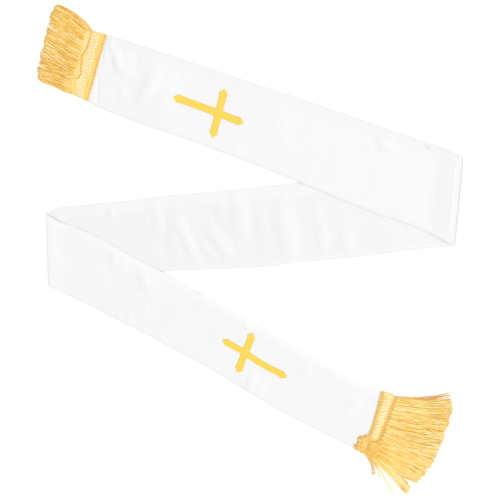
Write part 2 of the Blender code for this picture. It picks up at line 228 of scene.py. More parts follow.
def lay(u, v, n, lift=0.0):
    """Points of the folded stole in metres, for places (u, v) of the pattern, heights n out
    of the face and a lift off the surface: a half turn of FOLD_RADIUS about the crease, flat
    cloth on both sides of it, and a soft fall of the upper layer onto what is below."""
    u, v, n, lift = np.broadcast_arrays(*(np.asarray(a, float) for a in (u, v, n, lift)))
    beyond, beside, side, crease_x, rise, run = past_fold(u, v)
    half_turn = math.pi * FOLD_RADIUS / 2
    turn = np.clip((beyond + half_turn) / FOLD_RADIUS, 0, math.pi)
    over = np.clip(beyond - half_turn, 0, None)
    out = np.clip(beyond + half_turn, None, 0) - half_turn - over
    out = out + (FOLD_RADIUS + n) * np.sin(turn)
    plan_x = crease_x + side * out * rise + beside * run
    plan_y = -side * out * run + beside * rise
    past_edge = side * plan_y - HALF_WIDTH - BRIDGE
    resting = (CLOTH + LAYER_GAP) * (1 - smooth(past_edge / STEP_DOWN))
    fall = smooth(over / FOLD_FALL)
    top = 2 * FOLD_RADIUS * (1 - fall) + resting * fall
    middle = FOLD_RADIUS * (1 - np.cos(turn))
    height = SKIN + np.where(over > 0, top, middle) - n * np.cos(turn) + lift
    moved = creep(u, v)
    x, y = plan_x + moved[..., 0], plan_y + MIDDLE_Y + moved[..., 1]
    return np.stack([x, y, height], axis=-1) * MM


def in_middle(u):
    """Whether u is on the middle stretch, which shows the back."""
    return (u > FOLD_1) & (u < FOLD_2)


def uncovered(u, v):
    """1 where nothing lies on the cloth at (u, v) and 0 where another layer does: a place of
    the middle stretch is covered when its mirror image in the crease falls on the band."""
    beyond, beside, side, _, rise, run = past_fold(u, v)
    mirrored = beside * rise + side * beyond * run
    clear = smooth((np.abs(mirrored) - HALF_WIDTH - CLEAR_FROM) / CLEAR_RUN)
    return np.where(in_middle(u), clear, 1.0)


print("fold creases at u =", FOLD_1, "and", FOLD_2)

# %% [markdown]
# ## Creases
#
# Satin keeps the marks of how it was packed. The main ridges are the same as in the solids.
# Finer creases, a few broad swells, the dents by the folds and the puckers that the seam
# pulls into the cloth are added here. They could be sculpted, but a table of humps is easy to
# compare and to mend. A crease is a hump in two directions at once: it fades along its length
# and across its width. A height below 0 makes a trough.

# %% The creases
# stretch, along, across, slant in degrees, length, half width, height
RIDGES = [
    ("upper", 51, 20, -25, 44, 9, 1.9),
    ("upper", 66, -22, 8, 52, 10, 1.0),
    ("upper", 101, -2, 18, 104, 17, 2.6),
    ("upper", 243, -38, 30, 30, 10, 0.8),
    ("upper", 290, 8, -14, 70, 20, 1.1),
    ("upper", 419, 34, -30, 26, 9, 1.2),
    ("middle", 146, -24, -8, 54, 12, 0.8),
    ("middle", 177, -22, -8, 60, 12, 0.9),
    ("middle", 226, -5, -4, 110, 22, 2.2),
    ("middle", 284, 18, -6, 90, 18, 2.0),
    ("middle", 324, -12, 27, 84, 17, 2.0),
    ("middle", 370, -8, 10, 84, 14, 1.8),
    ("middle", 407, 22, -4, 56, 12, 1.3),
    ("middle", 478, 38, -2, 28, 9, 0.9),
    ("lower", 106, 34, -5, 34, 9, 1.3),
    ("lower", 158, 28, -25, 46, 12, 1.6),
    ("lower", 354, -34, 5, 44, 9, 1.8),
    ("lower", 493, 12, 16, 50, 14, 1.0),
]
CREASES = [
    ("upper", 28, 24, -2, 52, 3.4, -0.8),
    ("upper", 29, -28, -7, 46, 3.6, -1.0),
    ("upper", 38, 41, -25, 30, 7, 0.9),
    ("upper", 59, 17, -24, 46, 8, 0.7),
    ("upper", 68, 16, -22, 58, 14, 0.9),
    ("upper", 76, 6, 13, 130, 14, -0.35),
    ("upper", 80, -34, 18, 56, 17, 0.7),
    ("upper", 84, 2, 16, 110, 12, 0.7),
    ("upper", 102, 16, 12, 116, 15, 0.5),
    ("upper", 124, -2, 18, 110, 30, 2.3),
    ("upper", 62, 38, 0, 16, 4, 0.6),
    ("upper", 84, 39, 0, 16, 4, 0.6),
    ("upper", 150, 29, -4, 20, 6, 0.4),
    ("upper", 175, 34, 6, 18, 6, 0.4),
    ("upper", 404, 24, 8, 16, 4, 0.5),
    ("upper", 428, 36, -30, 30, 9, 0.8),
    ("upper", 496, -8, -16, 104, 9, -0.7),
    ("upper", 516.6, 0, -14, 140, 1.9, 0.35),
    ("middle", 176, 8, -8, 60, 9, 0.4),
    ("middle", 252, -5, -4, 110, 18, 1.0),
    ("middle", 306, 18, 10, 90, 18, 0.9),
    ("middle", 346, -14, 22, 84, 14, 1.0),
    ("middle", 388, -6, -8, 84, 15, 1.1),
    ("middle", 422, 18, 6, 60, 14, 0.6),
    ("middle", 558, 40, 3, 40, 7, -0.8),
    ("lower", 77, 2, 39, 50, 5, 0.4),
    ("lower", 118, 34, -5, 36, 12, 0.9),
    ("lower", 153, -36, 0, 30, 9, 0.8),
    ("lower", 172, 24, -20, 56, 16, 1.1),
    ("lower", 321, 42, 0, 18, 6, 0.8),
    ("lower", 368, -34, 5, 46, 14, 1.2),
    ("lower", 417, 30, 0, 40, 8, 0.5),
]
print(len(RIDGES), "main ridges and", len(CREASES), "more creases")

# %% [markdown]
# The same formula serves the puckers. A sewing thread is a little shorter than the cloth that
# it holds, so the cloth along a seam stands up in many small humps. They are too many to
# place by hand, so a seeded generator draws them, and they are the same on every run.

# %% The height of creases, and puckers


def humps(rows, u, v):
    """The summed height of the creases in rows at (u, v): for each, its height times one bump
    along it and one across it, both turned by its slant."""
    height = np.zeros(np.broadcast_shapes(np.shape(u), np.shape(v)))
    for stretch, along, across, slant, length, width, high in rows:
        slant = math.radians(slant)
        du = u - STRETCH_START[stretch] - along
        dv = v - across
        lengthwise = dv * math.cos(slant) + du * math.sin(slant)
        crosswise = du * math.cos(slant) - dv * math.sin(slant)
        height = height + high * bump(2 * lengthwise / length) * bump(crosswise / width)
    return height


PUCKERS_FROM, PUCKER_SLANT = 24, 24


def seam_puckers(seed, across, reach, spacing, high):
    """Rows for the small puckers along a seam: unevenly spaced, each with its own slant,
    length, width and height, and none close to the ends of a stretch."""
    random = np.random.default_rng(seed)
    rows = []
    for stretch, length in STRETCH_LENGTH.items():
        at = PUCKERS_FROM + spacing * random.random()
        while at < length - PUCKERS_FROM:
            rows.append((
                stretch,
                at,
                across + random.uniform(-0.2, 0.5) * reach,
                random.uniform(-PUCKER_SLANT, PUCKER_SLANT),
                reach * random.uniform(0.8, 1.8),
                spacing * random.uniform(0.22, 0.45),
                high * random.uniform(0.3, 1.0),
            ))
            at += spacing * random.uniform(0.6, 1.6)
    return rows


WIDE_PUCKERS = seam_puckers(3, WIDE_IN, 11, 13, 0.5)
NARROW_PUCKERS = seam_puckers(5, NARROW_IN, 7, 17, 0.35)
print(len(WIDE_PUCKERS), "puckers at the wide margin and", len(NARROW_PUCKERS), "at the other")

# %% [markdown]
# The upper side of the band shows every crease. The lower side lies on the surface: under a
# ridge it rises too, but less, and here and there the whole tube stands a little off it.

# %% The lift
WAVES, WAVE_TURN = 6, 6.28
# The puckers' share on the middle stretch and on the others, which show them less.
PUCKER_SHARES = (0.7, 0.18)
# Soft unevenness of the upper wall: height, mean, seed and size. And of the whole tube:
# height, seed, size, and the drift at which it starts to rise and the run to its full height.
LOOSE_HIGH, LOOSE_MEAN, LOOSE_SEED, LOOSE_SIZE = 0.14, 0.12, 11, 46
SOLE_HIGH, SOLE_SEED, SOLE_SIZE, SOLE_FROM, SOLE_RUN = 0.35, 29, 60, 0.15, 0.5
UNDER_RIDGE = 0.45


def drift(u, v, seed, size):
    """Broad soft unevenness, from -1 to 1: the mean of a few slanting waves."""
    random = np.random.default_rng(seed)
    total = 0
    for _ in range(WAVES):
        length = size * random.uniform(0.6, 1.8)
        slant, phase = random.uniform(-1.2, 1.2), random.uniform(0, WAVE_TURN)
        run = u * math.cos(slant) + v * math.sin(slant)
        total = total + np.sin(WAVE_TURN / length * run + phase)
    return total / WAVES


def top_lift(u, v):
    """How far the upper wall rises at (u, v): its creases, and the puckers and unevenness of
    what isn't covered."""
    height = humps(RIDGES, u, v) + humps(CREASES, u, v)
    pucker = humps(WIDE_PUCKERS, u, v) + humps(NARROW_PUCKERS, u, v)
    loose = LOOSE_HIGH * drift(u, v, LOOSE_SEED, LOOSE_SIZE) + LOOSE_MEAN
    return height + (np.where(in_middle(u), *PUCKER_SHARES) * pucker + loose) * uncovered(u, v)


def sole_lift(u, v):
    """How far the whole tube rises off what it lies on at (u, v)."""
    risen = smooth((drift(u, v, SOLE_SEED, SOLE_SIZE) - SOLE_FROM) / SOLE_RUN)
    return SOLE_HIGH * risen * uncovered(u, v)


def lifted(u, v, side=1.0):
    """The lift of a wall at (u, v). side is 1 on the face and -1 on the back, and in between
    on a rounded edge; the face is uppermost except on the middle stretch."""
    up = np.where(in_middle(u), -side, side)
    share = np.clip((up + 1) / 2, 0, 1)
    under = UNDER_RIDGE * np.clip(humps(RIDGES, u, v), 0, None)
    return share * top_lift(u, v) + (1 - share) * under + sole_lift(u, v)


def on_face(u, v, n):
    """Points that lie n out from the middle of the tube, on the face and its creases."""
    return lay(u, v, n, lifted(u, v))


grid = np.meshgrid(np.arange(0, BAND_LENGTH, 5), np.arange(-50, 51, 5.0))
print(f"largest lift {top_lift(*grid).max():.2f} mm")

# %% [markdown]
# ## Making meshes from arrays
#
# Each piece is a profile carried along a path: rows of points, with the same number of points
# in every row, joined by quads. numpy works out all rows at once, and one call puts them into
# a mesh. A closed piece whose quads point inwards encloses a volume below 0, and is turned
# round.

# %% Rows of points to a mesh


def row_quads(rows, around):
    """Quads between neighbouring rows, which have around points each and close on
    themselves."""
    row = np.arange(rows - 1)[:, None] * around
    here = np.arange(around)[None]
    following = (here + 1) % around
    corners = [row + here, row + following, row + around + following, row + around + here]
    return np.stack(corners, axis=-1).reshape(-1, 4)


def enclosed(points, quads):
    """The volume that quads enclose, above 0 when they point out: the sum of the signed
    tetrahedra from the middle of the piece to each triangle."""
    points = points - points.mean(axis=0)
    a, b, c, d = (points[quads[:, i]] for i in range(4))
    return float(
        np.einsum("ij,ij->", a, np.cross(b, c)) + np.einsum("ij,ij->", a, np.cross(c, d))
    ) / 6


def mesh_piece(name, points, quads, finish, caps, cloth, shade, sharp):
    """A smooth piece from points, quads and end caps. cloth holds a place on the flat cloth
    for every point, kept as a UV map, and shade is a number for every point. Edges that turn
    by more than sharp degrees stay crisp."""
    caps = [list(map(int, cap)) for cap in caps]
    if enclosed(points, quads) < 0:
        quads, caps = quads[:, ::-1], [cap[::-1] for cap in caps]
    mesh = bpy.data.meshes.new(name)
    mesh.from_pydata(points.tolist(), [], quads.tolist() + caps)
    mesh.shade_smooth()
    if sharp is not None:
        mesh.set_sharp_from_angle(angle=math.radians(sharp))
    corner = np.empty(len(mesh.loops), int)
    mesh.loops.foreach_get("vertex_index", corner)
    mesh.uv_layers.new(name="cloth").data.foreach_set("uv", cloth[corner].ravel())
    mesh.attributes.new("shade", "FLOAT", "POINT").data.foreach_set("value", shade)
    mesh.materials.append(finish)
    piece = added(bpy.data.objects.new(name, mesh))
    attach(piece, "root")
    print(f"{name}: {len(points)} points, {len(quads)} quads, {len(caps)} caps")
    return piece


def tubes(name, groups, finish, sharp=None):
    """Closed tubes as one piece. Each group is (rings, cloth, shade). rings has an axis for
    the tubes, the rows of a tube and the points round a row, and a tube's ends are capped."""
    points, quads, caps, cloths, shades, first = [], [], [], [], [], 0
    for rings, cloth, shade in groups:
        count, rows, around = rings.shape[:3]
        start = first + np.arange(count)[:, None, None] * rows * around
        quads.append((row_quads(rows, around)[None] + start).reshape(-1, 4))
        ring = np.arange(around)[None]
        caps += [*(ring[:, ::-1] + start[:, 0]), *(ring + start[:, 0] + (rows - 1) * around)]
        points.append(rings.reshape(-1, 3))
        cloths.append(cloth.reshape(-1, 2))
        shades.append(np.broadcast_to(shade, rings.shape[:3]).ravel())
        first += count * rows * around
    points, quads, cloths, shades = map(np.concatenate, (points, quads, cloths, shades))
    return mesh_piece(name, points, quads, finish, caps, cloths, shades, sharp)


# %% [markdown]
# ## Materials as formulas
#
# A procedural material is a sum of a few masks. Its nodes could be placed and linked one by
# one, but a formula is easier to read: Value lets a node's output stand in one, and each
# operator adds the Math node that it means.

# %% Shader formulas


class Value:
    """A node's output that can be used in formulas."""

    def __init__(self, finish, socket):
        self.finish, self.socket = finish, socket

    def _maths(self, operation, first, second):
        return self.finish.node("ShaderNodeMath", {"operation": operation}, {0: first, 1: second})

    def __add__(self, other):
        return self._maths("ADD", self, other)

    def __sub__(self, other):
        return self._maths("SUBTRACT", self, other)

    def __mul__(self, other):
        return self._maths("MULTIPLY", self, other)


print("a Value can be added, subtracted and multiplied")

# %% [markdown]
# Finish holds one material. What never varies is set on the shader's own sockets, and what
# varies is worked out by nodes. Each method adds the nodes for one kind of pattern.

# %% The nodes of a finish


class Finish:
    """A material with a Principled shader, whose steady values are set on its sockets."""

    def __init__(self, name, **steady):
        self.material = bpy.data.materials.new(name)
        self.material.use_nodes = True
        self.tree = self.material.node_tree
        self.shader = self.tree.nodes["Principled BSDF"]
        for socket, value in steady.items():
            self.shader.inputs[socket.replace("_", " ")].default_value = value

    def node(self, kind, settings=None, inputs=None, out=0):
        """Adds a node. Its settings come first, then the values or links of its sockets."""
        made = self.tree.nodes.new(kind)
        for key, value in (settings or {}).items():
            if key == "stops":
                ramp = made.color_ramp.elements
                while len(ramp) < len(value):
                    ramp.new(0.5)
                for element, (position, colour) in zip(ramp, value):
                    element.position, element.color = position, (*colour, 1)
            else:
                setattr(made, key, value)
        for key, value in (inputs or {}).items():
            if isinstance(value, Value):
                self.tree.links.new(value.socket, made.inputs[key])
            else:
                made.inputs[key].default_value = value
        return Value(self, made.outputs[out])

    def place(self):
        """The place on the flat cloth, from the UV map."""
        return self.node("ShaderNodeUVMap", {"uv_map": "cloth"})

    def shade(self):
        """The number called shade that every point of the mesh has."""
        return self.node("ShaderNodeAttribute", {"attribute_name": "shade"}, out=2)

    def scaled(self, coordinate, scale):
        """A coordinate stretched by scale along each axis."""
        return self.node("ShaderNodeMapping", {}, {"Vector": coordinate, "Scale": scale})

    def noise(self, coordinate, scale, detail):
        """Soft noise from 0 to 1, where scale is the number of spots in a metre."""
        inputs = {"Vector": coordinate, "Scale": scale, "Detail": detail}
        return self.node("ShaderNodeTexNoise", {}, inputs)

    def blend(self, share, first, second):
        """A colour mixed from first to second by share."""
        inputs = {0: share}
        for key, colour in ((6, first), (7, second)):
            inputs[key] = colour if isinstance(colour, Value) else (*colour, 1)
        return self.node("ShaderNodeMix", {"data_type": "RGBA"}, inputs, out=2)

    def relief(self, height, distance):
        """Feeds the shader a normal from a height, in units of distance metres."""
        inputs = {"Height": height, "Distance": distance, "Strength": 1.0}
        self.feed("Normal", self.node("ShaderNodeBump", {}, inputs))

    def feed(self, socket, value):
        """Links a value to a socket of the shader."""
        self.tree.links.new(value.socket, self.shader.inputs[socket])


print("a Finish has", ", ".join(name for name in vars(Finish) if not name.startswith("_")))

# %% [markdown]
# ## White satin
#
# Satin is a weave in which the warp floats over most of the weft, so its face is smooth and
# glossy along the threads. Seen close, it is made of fine lengthwise lines with a slight
# unevenness. The pattern follows the cloth through every fold, so it is drawn on a UV map
# that holds the place on the flat cloth in metres: U across the band and V along it.

# %% White satin
# How many threads, slubs and clouds there are in a metre, across the band and along it.
WARP, WEFT, SLUB, CLOUD = (2600, 120, 1), (160, 2200, 1), (520, 26, 1), 22.0
SATIN_RELIEF = 0.00012  # metres


def satin(name, colour, dull, rough):
    """White satin: warp lines from noise stretched along the band, slubs from longer noise, and a
    few cloudy spots that are a little duller. It is painted greyer by the number called shade,
    which holds painted shade at folds and long edges and a real grey speck."""
    cloth = Finish(name, Sheen_Weight=0.12, Sheen_Roughness=0.4, IOR=1.45)
    place = cloth.place()
    warp = cloth.noise(cloth.scaled(place, WARP), 1.0, 1.0)
    weft = cloth.noise(cloth.scaled(place, WEFT), 1.0, 1.0)
    slub = cloth.noise(cloth.scaled(place, SLUB), 1.0, 3.0)
    cloud = cloth.noise(place, CLOUD, 3.0)
    share = cloud * 0.55 + slub * 0.25 + warp * 0.2
    white = cloth.blend(share, colour, dull)
    # The painted shade at folds and edges, and the speck, blend the white towards grey.
    cloth.feed("Base Color", cloth.blend(cloth.shade(), white, SHADE_AND_SPECK_GREY))
    cloth.feed("Roughness", cloud * 0.1 + slub * 0.08 + rough)
    cloth.relief(warp * 0.7 + weft * 0.35 + slub * 0.5, SATIN_RELIEF)
    return cloth.material


# The grey of the painted shade at folds and edges, and of the speck.
SHADE_AND_SPECK_GREY = (0.50, 0.50, 0.50)
FACE_WHITE, FACE_DULL, FACE_ROUGH = (0.86, 0.86, 0.86), (0.845, 0.845, 0.845), 0.40
BACK_WHITE, BACK_DULL, BACK_ROUGH = (0.84, 0.84, 0.84), (0.825, 0.825, 0.825), 0.52
face_finish = satin("white_satin", FACE_WHITE, FACE_DULL, FACE_ROUGH)
back_finish = satin("white_lining", BACK_WHITE, BACK_DULL, BACK_ROUGH)
print("satin finishes:", face_finish.name, back_finish.name)

# %% [markdown]
# ## The face
#
# The face is one strip, turned under along both edges. Its profile is a long C with a wall of
# 1 mm: out along the lower side of a margin, round the edge, across the face, round the other
# edge and back, then the same way home along the inner side. A thin sheet with a Solidify
# modifier would do too, but writing both sides out keeps the wall where the solid's wall is.

# %% The face's profile
# Steps round an edge, across the band, and across the narrow margin and the wide one.
ROUND, COLUMNS, NARROW_COLUMNS, WIDE_COLUMNS = 6, 46, 4, 7


def path(*points_and_steps):
    """Points (v, n) along straight runs: a start, then each stop with its number of steps."""
    place, points = points_and_steps[0], [points_and_steps[0]]
    for stop, steps in points_and_steps[1:]:
        share = np.arange(1, steps + 1)[:, None] / steps
        points.extend((1 - share) * place + share * np.array(stop))
        place = stop
    return np.array(points)


def round_edge(v, radius, start, stop):
    """Points on a half circle in the (v, n) plane, about v."""
    angle = np.radians(np.linspace(start, stop, ROUND + 1))
    return np.stack([v + radius * np.cos(angle), radius * np.sin(angle)], axis=1)


def c_path(depth):
    """The C of one side of the wall, depth out from the middle of the tube."""
    centre = HALF_WIDTH - SKIN
    return np.concatenate([
        path((NARROW_IN, -depth), ((-centre, -depth), NARROW_COLUMNS))[:-1],
        round_edge(-centre, depth, 270, 90),
        path((-centre, depth), ((centre, depth), COLUMNS))[1:-1],
        round_edge(centre, depth, 90, -90),
        path((centre, -depth), ((WIDE_IN, -depth), WIDE_COLUMNS))[1:],
    ])


outer, inner = c_path(SKIN), c_path(INNER)
face_ring = np.concatenate([outer, inner[::-1]])
face_side = np.concatenate([outer[:, 1] / SKIN, inner[::-1, 1] / INNER])
face_width = np.concatenate([[0], np.cumsum(np.hypot(*np.diff(outer, axis=0).T))])
print(f"the face was cut {face_width[-1]:.1f} mm wide")

# %% [markdown]
# The rows of the strip lie close together round the folds, and at an even spacing elsewhere.
# A row that crosses a fold follows its slanted crease, so that the mesh turns cleanly.

# %% Rows along the band
ROW_SPACING, NEAR_FOLD = 3.0, 42
# Rows beside a fold, by their distance from it, and the closer rows by the upper heading.
FOLD_ROWS = np.array([0, 0.8, 1.6, 2.4, 3.2, 4.0, 4.8, 5.6, 6.4, 7.2, 8, 8.8, 9.6, 10.6,
                      12, 15, 18, 22, 26, 30, 36])
HEADING_ROWS = np.arange(21.5, 46, 1.5)
# u, and how far a row leans there: with the cut end, not at all, or with a crease.
ROW_LEAN = ((0, -0.073), (160, 0.0), (400, LEAN_1), (FOLD_1, LEAN_1), (FOLD_2, LEAN_2),
            (1254, LEAN_2), (1500, 0.0), (BAND_LENGTH, 0.0))


def row_places():
    """Places along the band: fine steps near a fold, coarse ones elsewhere."""
    places = [HEADING_ROWS, [BAND_LENGTH]]
    for start, stop in ((0, FOLD_1), (FOLD_1, FOLD_2), (FOLD_2, BAND_LENGTH)):
        from_fold, to_fold = start > 0, stop < BAND_LENGTH
        first, last = start + NEAR_FOLD * from_fold, stop - NEAR_FOLD * to_fold
        places.append(np.arange(first, last, ROW_SPACING))
        places += [start + FOLD_ROWS] * from_fold + [stop - FOLD_ROWS] * to_fold
    return np.unique(np.concatenate(places))


def row_lean(u):
    """How far a row leans at u, between the rows of ROW_LEAN."""
    return np.interp(u, *np.array(ROW_LEAN).T)


along = row_places()
print(len(along), "rows of", len(face_ring), "points")

# %% [markdown]
# The long edges are pressed thin, one more than the other, and the seams pull the cloth in a
# little. A Bevel modifier can't thin one side only, so both are changes of the height n.

# %% Pressed edges and seams
# How much of the thickness is pressed away at the long edge with v < 0 and at the one with
# v > 0, over how many mm, and the run in which that changes sides at a fold.
PRESSED_SHARE, PRESSED_WIDTH, TURN_RUN = (0.3, 0.6), (3.6, 9.0), 60
# The dip at a seam of the back, and the one that shows through the face: depth and width.
SEAM_DIP, SHOW_THROUGH = (0.06, 1.6), (-0.2, 1.3)


def bell(x, width):
    """A bell curve of height 1 about 0."""
    return np.exp(-((x / width) ** 2))


def seam_dip(v, n):
    """How far the cloth is pulled in beside the two seams of the back, and in a faint line
    on the face where the edge of the wide margin shows through."""
    (deep, width), (through, through_width) = SEAM_DIP, SHOW_THROUGH
    at_seam = bell(v - WIDE_IN, width) + bell(v - NARROW_IN, width)
    return np.where(n < 0, deep * at_seam, through * bell(v - WIDE_IN, through_width))


def pressed(u, v, n):
    """The height n once the long edges have been pressed thin. They are thinned towards the
    side that is lower: the back, the face on the middle stretch, and neither at a fold."""
    turned, back = (smooth((u - fold + TURN_RUN / 2) / TURN_RUN) for fold in (FOLD_1, FOLD_2))
    lower = 1 - turned * 2 + back * 2
    share, width = (np.where(v < 0, *pair) for pair in (PRESSED_SHARE, PRESSED_WIDTH))
    thinned = share * smooth((np.abs(v) - HALF_WIDTH + width) / width)
    return n * (1 - thinned) - lower * thinned * SKIN


def band_rings(ring, side):
    """Rows of points for a ring of (v, n), with the row's lean, its dips and its lift. The
    flat walls have the dips, where side is 1 or -1, and the rounded edges don't."""
    v, n = ring.T
    u = along[:, None] - row_lean(along)[:, None] * v[None]
    u[0], u[-1] = -row_lean(0.0) * v, BAND_LENGTH
    n = pressed(u, v[None], (n + seam_dip(v, n) * (np.abs(side) > 0.9))[None])
    return lay(u, v[None], n, lifted(u, v[None], side[None])), u


print(f"edges pressed to {1 - PRESSED_SHARE[0]:.0%} and {1 - PRESSED_SHARE[1]:.0%}")

# %% [markdown]
# Along a sharp fold and along the long edges, where the satin turns away from the light, it is
# painted greyer as painted shade, and this one has a small grey speck too. A painted texture
# would do, but a formula follows the folds by itself. Its value is kept for every point as the
# number called shade.

# %% Painted shade at folds and edges, and a speck
# The painted shade at a fold: the shares at the first and at the second one, and over how many
# mm.
PAINTED_FOLD_SHADE, PAINTED_FOLD_SHADE_WIDTH = (1.0, 0.45), 3.6
# The painted shade along the long edges with v < 0 and v > 0, on the upper, the middle and the
# lower stretch: its share, and over how many mm.
PAINTED_EDGE_SHADE = np.array([
    ((0.05, 1.6), (0.13, 14.0)),
    ((0.20, 1.6), (0.05, 1.6)),
    ((0.04, 1.6), (0.04, 6.0)),
])
# The speck: along, across, size and share of grey.
SPECK = (470.2, 47.2, 2.0, 0.85)


def painted_shade_and_speck(u, v):
    """How grey the satin is painted at (u, v), from 0 to 1: painted shade near a fold and near a
    long edge, and the real speck."""
    at_fold = np.minimum(np.abs(past_fold(u, v)[0]) / PAINTED_FOLD_SHADE_WIDTH, 1)
    folded = np.where(u < (FOLD_1 + FOLD_2) / 2, *PAINTED_FOLD_SHADE) * (1 - at_fold)
    stretch = np.searchsorted((FOLD_1, FOLD_2), u, side="right")
    spot_u, spot_v, size, share = SPECK
    grey = share * np.exp(-((u - spot_u) ** 2 + (v - spot_v) ** 2) / size**2)
    for side, from_edge in enumerate((HALF_WIDTH + v, HALF_WIDTH - v)):
        edge_share, width = np.moveaxis(PAINTED_EDGE_SHADE[stretch, side], -1, 0)
        grey = grey + edge_share * np.clip(1 - from_edge / width, 0, 1)
    return np.maximum(folded, grey)


def place_on_cloth(u, width):
    """Places on the flat cloth in metres, U across and V along."""
    return np.stack([np.broadcast_to(width[None], u.shape), u], axis=-1) * MM


print(f"grey at the folds {PAINTED_FOLD_SHADE}, at the edges up to {PAINTED_EDGE_SHADE[..., 0].max():.0%}")

# %% The face
rings, u = band_rings(face_ring, face_side)
width = np.concatenate([face_width, face_width[::-1]])
# The face's shade is painted shade at folds and edges, and the speck.
face_group = (rings[None], place_on_cloth(u, width), painted_shade_and_speck(u, face_ring[:, 0]))
face = tubes("satin_face", [face_group], face_finish, 50)
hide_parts("face_upper", "face_middle", "face_lower")

# %% [markdown]
# ## The back
#
# A narrower strip closes the back between the margins, in a slightly duller satin. It could
# be part of the face's mesh, but it is another piece of cloth with a finish of its own. The
# seams are pressed flat, so the strip lies a hair below the margins and its edges run a
# little way into them, with no groove between.

# %% The back
SIDE_STEPS = 2
wide_edge, narrow_edge = WIDE_IN + SEWN_LAP, NARROW_IN - SEWN_LAP
back_low, back_high = SEWN_LOW - SKIN, -INNER - SEWN_LOW
back_ring = path(
    (narrow_edge, back_high),
    ((narrow_edge, back_low), SIDE_STEPS),
    ((wide_edge, back_low), COLUMNS),
    ((wide_edge, back_high), SIDE_STEPS),
    ((narrow_edge, back_high), COLUMNS),
)[:-1]
back_side = np.full(len(back_ring), -1.0)
rings, u = band_rings(back_ring, back_side)
# The back's shade is painted shade at folds and edges, and the speck.
back_group = (rings[None], place_on_cloth(u, back_ring[:, 0]), painted_shade_and_speck(u, back_ring[:, 0]))
back = tubes("satin_back", [back_group], back_finish, 50)
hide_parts("back_upper", "back_middle", "back_lower")

# %% [markdown]
# ## The crosses
#
# Each cross is cut from one piece of flat gold cloth and fixed to the face. Its arms end in
# barbed points. It could be a thin box cut to shape, but that would not bend with the satin.
# Here each bar is filled with rows of points from edge to edge and laid on the face in the
# same way as the satin, so that it follows every ridge under it. The cloth is a twill, so
# slanting lines are drawn on it.

# %% Gold cloth for the crosses
CROSS_GOLD, CROSS_DEEP = (0.97, 0.72, 0.11), (0.87, 0.60, 0.07)
# The twill: its turn in radians, scale, unevenness and depth in metres.
TWILL_TURN, TWILL_SCALE, TWILL_UNEVEN, TWILL_RELIEF = 0.9, 260.0, 1.2, 0.00015


def gold_cloth():
    """Flat gold cloth with diagonal twill lines, and a deeper rim where it is sewn on."""
    gold = Finish("gold_cloth", IOR=1.4)
    place = gold.place()
    turn = {"Vector": place, "Rotation": (0, 0, TWILL_TURN)}
    turned = gold.node("ShaderNodeMapping", {}, turn)
    lines = {"Vector": turned, "Scale": TWILL_SCALE, "Distortion": TWILL_UNEVEN, "Detail": 1.0}
    twill = gold.node("ShaderNodeTexWave", {}, lines, out=1)
    cloud = gold.noise(place, 60.0, 3.0)
    share = twill * 0.35 + cloud * 0.5 + gold.shade() * 0.5
    gold.feed("Base Color", gold.blend(share, CROSS_GOLD, CROSS_DEEP))
    gold.feed("Roughness", cloud * 0.15 + 0.5)
    gold.relief(twill, TWILL_RELIEF)
    return gold.material


cross_finish = gold_cloth()
print("cross finish:", cross_finish.name)

# %% The crosses
CROSS_REACH = {"foot": 66.0, "head": 36.0, "side": 34.5}
# The bar's width, then the barb: where it starts and is widest, from the point, and its width
# there and at the point.
CROSS_BAR, BARB_START, BARB_BACK, BARB_WIDTH, POINT_WIDTH = 9.7, 10.5, 7.0, 12.0, 0.24
# Where the slab starts, its thickness in the middle and at its rim, and how far the long bar
# stands over the other.
CROSS_LOW, CROSS_THICK, CROSS_RIM, LONG_BAR_OVER = SKIN + SEAM_GAP, 0.8, 0.3, 0.02
BAR_ROWS = 48
# Points across a bar: the place, the share of the full thickness, and where it is sewn on.
BAR_ACROSS = np.array([-1, -0.98, -0.9, -0.8, 0, 0.8, 0.9, 0.98, 1])
BAR_RIM = np.array([0, 0.75, 1, 1, 1, 1, 1, 0.75, 0])
BAR_SEWN = np.array([1.0, 1, 1, 0, 0, 0, 1, 1, 1])
# The lower cross bends towards its foot and waves a little.
WAVE_FROM, WAVE_RUN = 28, 9.5
# Where each cross lies, which way its foot points, and its bend and wave in mm.
CROSSES = {
    "cross_upper": {"along": 206.6, "across": -1.9, "foot": -1, "bend": 0.0, "wave": 0.0},
    "cross_lower": {"along": 1460.0, "across": 3.1, "foot": 1, "bend": 1.5, "wave": 0.55},
}
CROSS_TURN = -1.4  # degrees
print("crosses", sum(CROSS_REACH[reach] for reach in ("foot", "head")), "mm long")

# %% The shape of a cross


def arm_half_width(to_point):
    """Half the width of an arm at a distance from its point: the barb that opens from the
    point and closes again, then the bar."""
    widths = np.array([POINT_WIDTH, BARB_WIDTH, CROSS_BAR])
    return np.interp(to_point, (0, BARB_BACK, BARB_START), widths / 2)


def bar_points(back, on):
    """A bar of the cross as rows of places: it reaches back behind the middle and on in front
    of it, and each row runs from one edge to the other."""
    stops = [on - BARB_START, on - BARB_BACK, on, BARB_START - back, BARB_BACK - back, -back, 0]
    along_bar = np.unique(np.concatenate([np.linspace(-back, on, BAR_ROWS), stops]))
    half = arm_half_width(np.where(along_bar < 0, back, on) - np.abs(along_bar))
    rows = np.broadcast_arrays(along_bar[:, None], half[:, None] * BAR_ACROSS)
    return np.stack(rows, axis=-1)


def there_and_back(rows, axis=1):
    """Rows followed by the same rows in reverse, as for the two sides of a slab."""
    return np.concatenate([rows, np.flip(rows, axis)], axis)


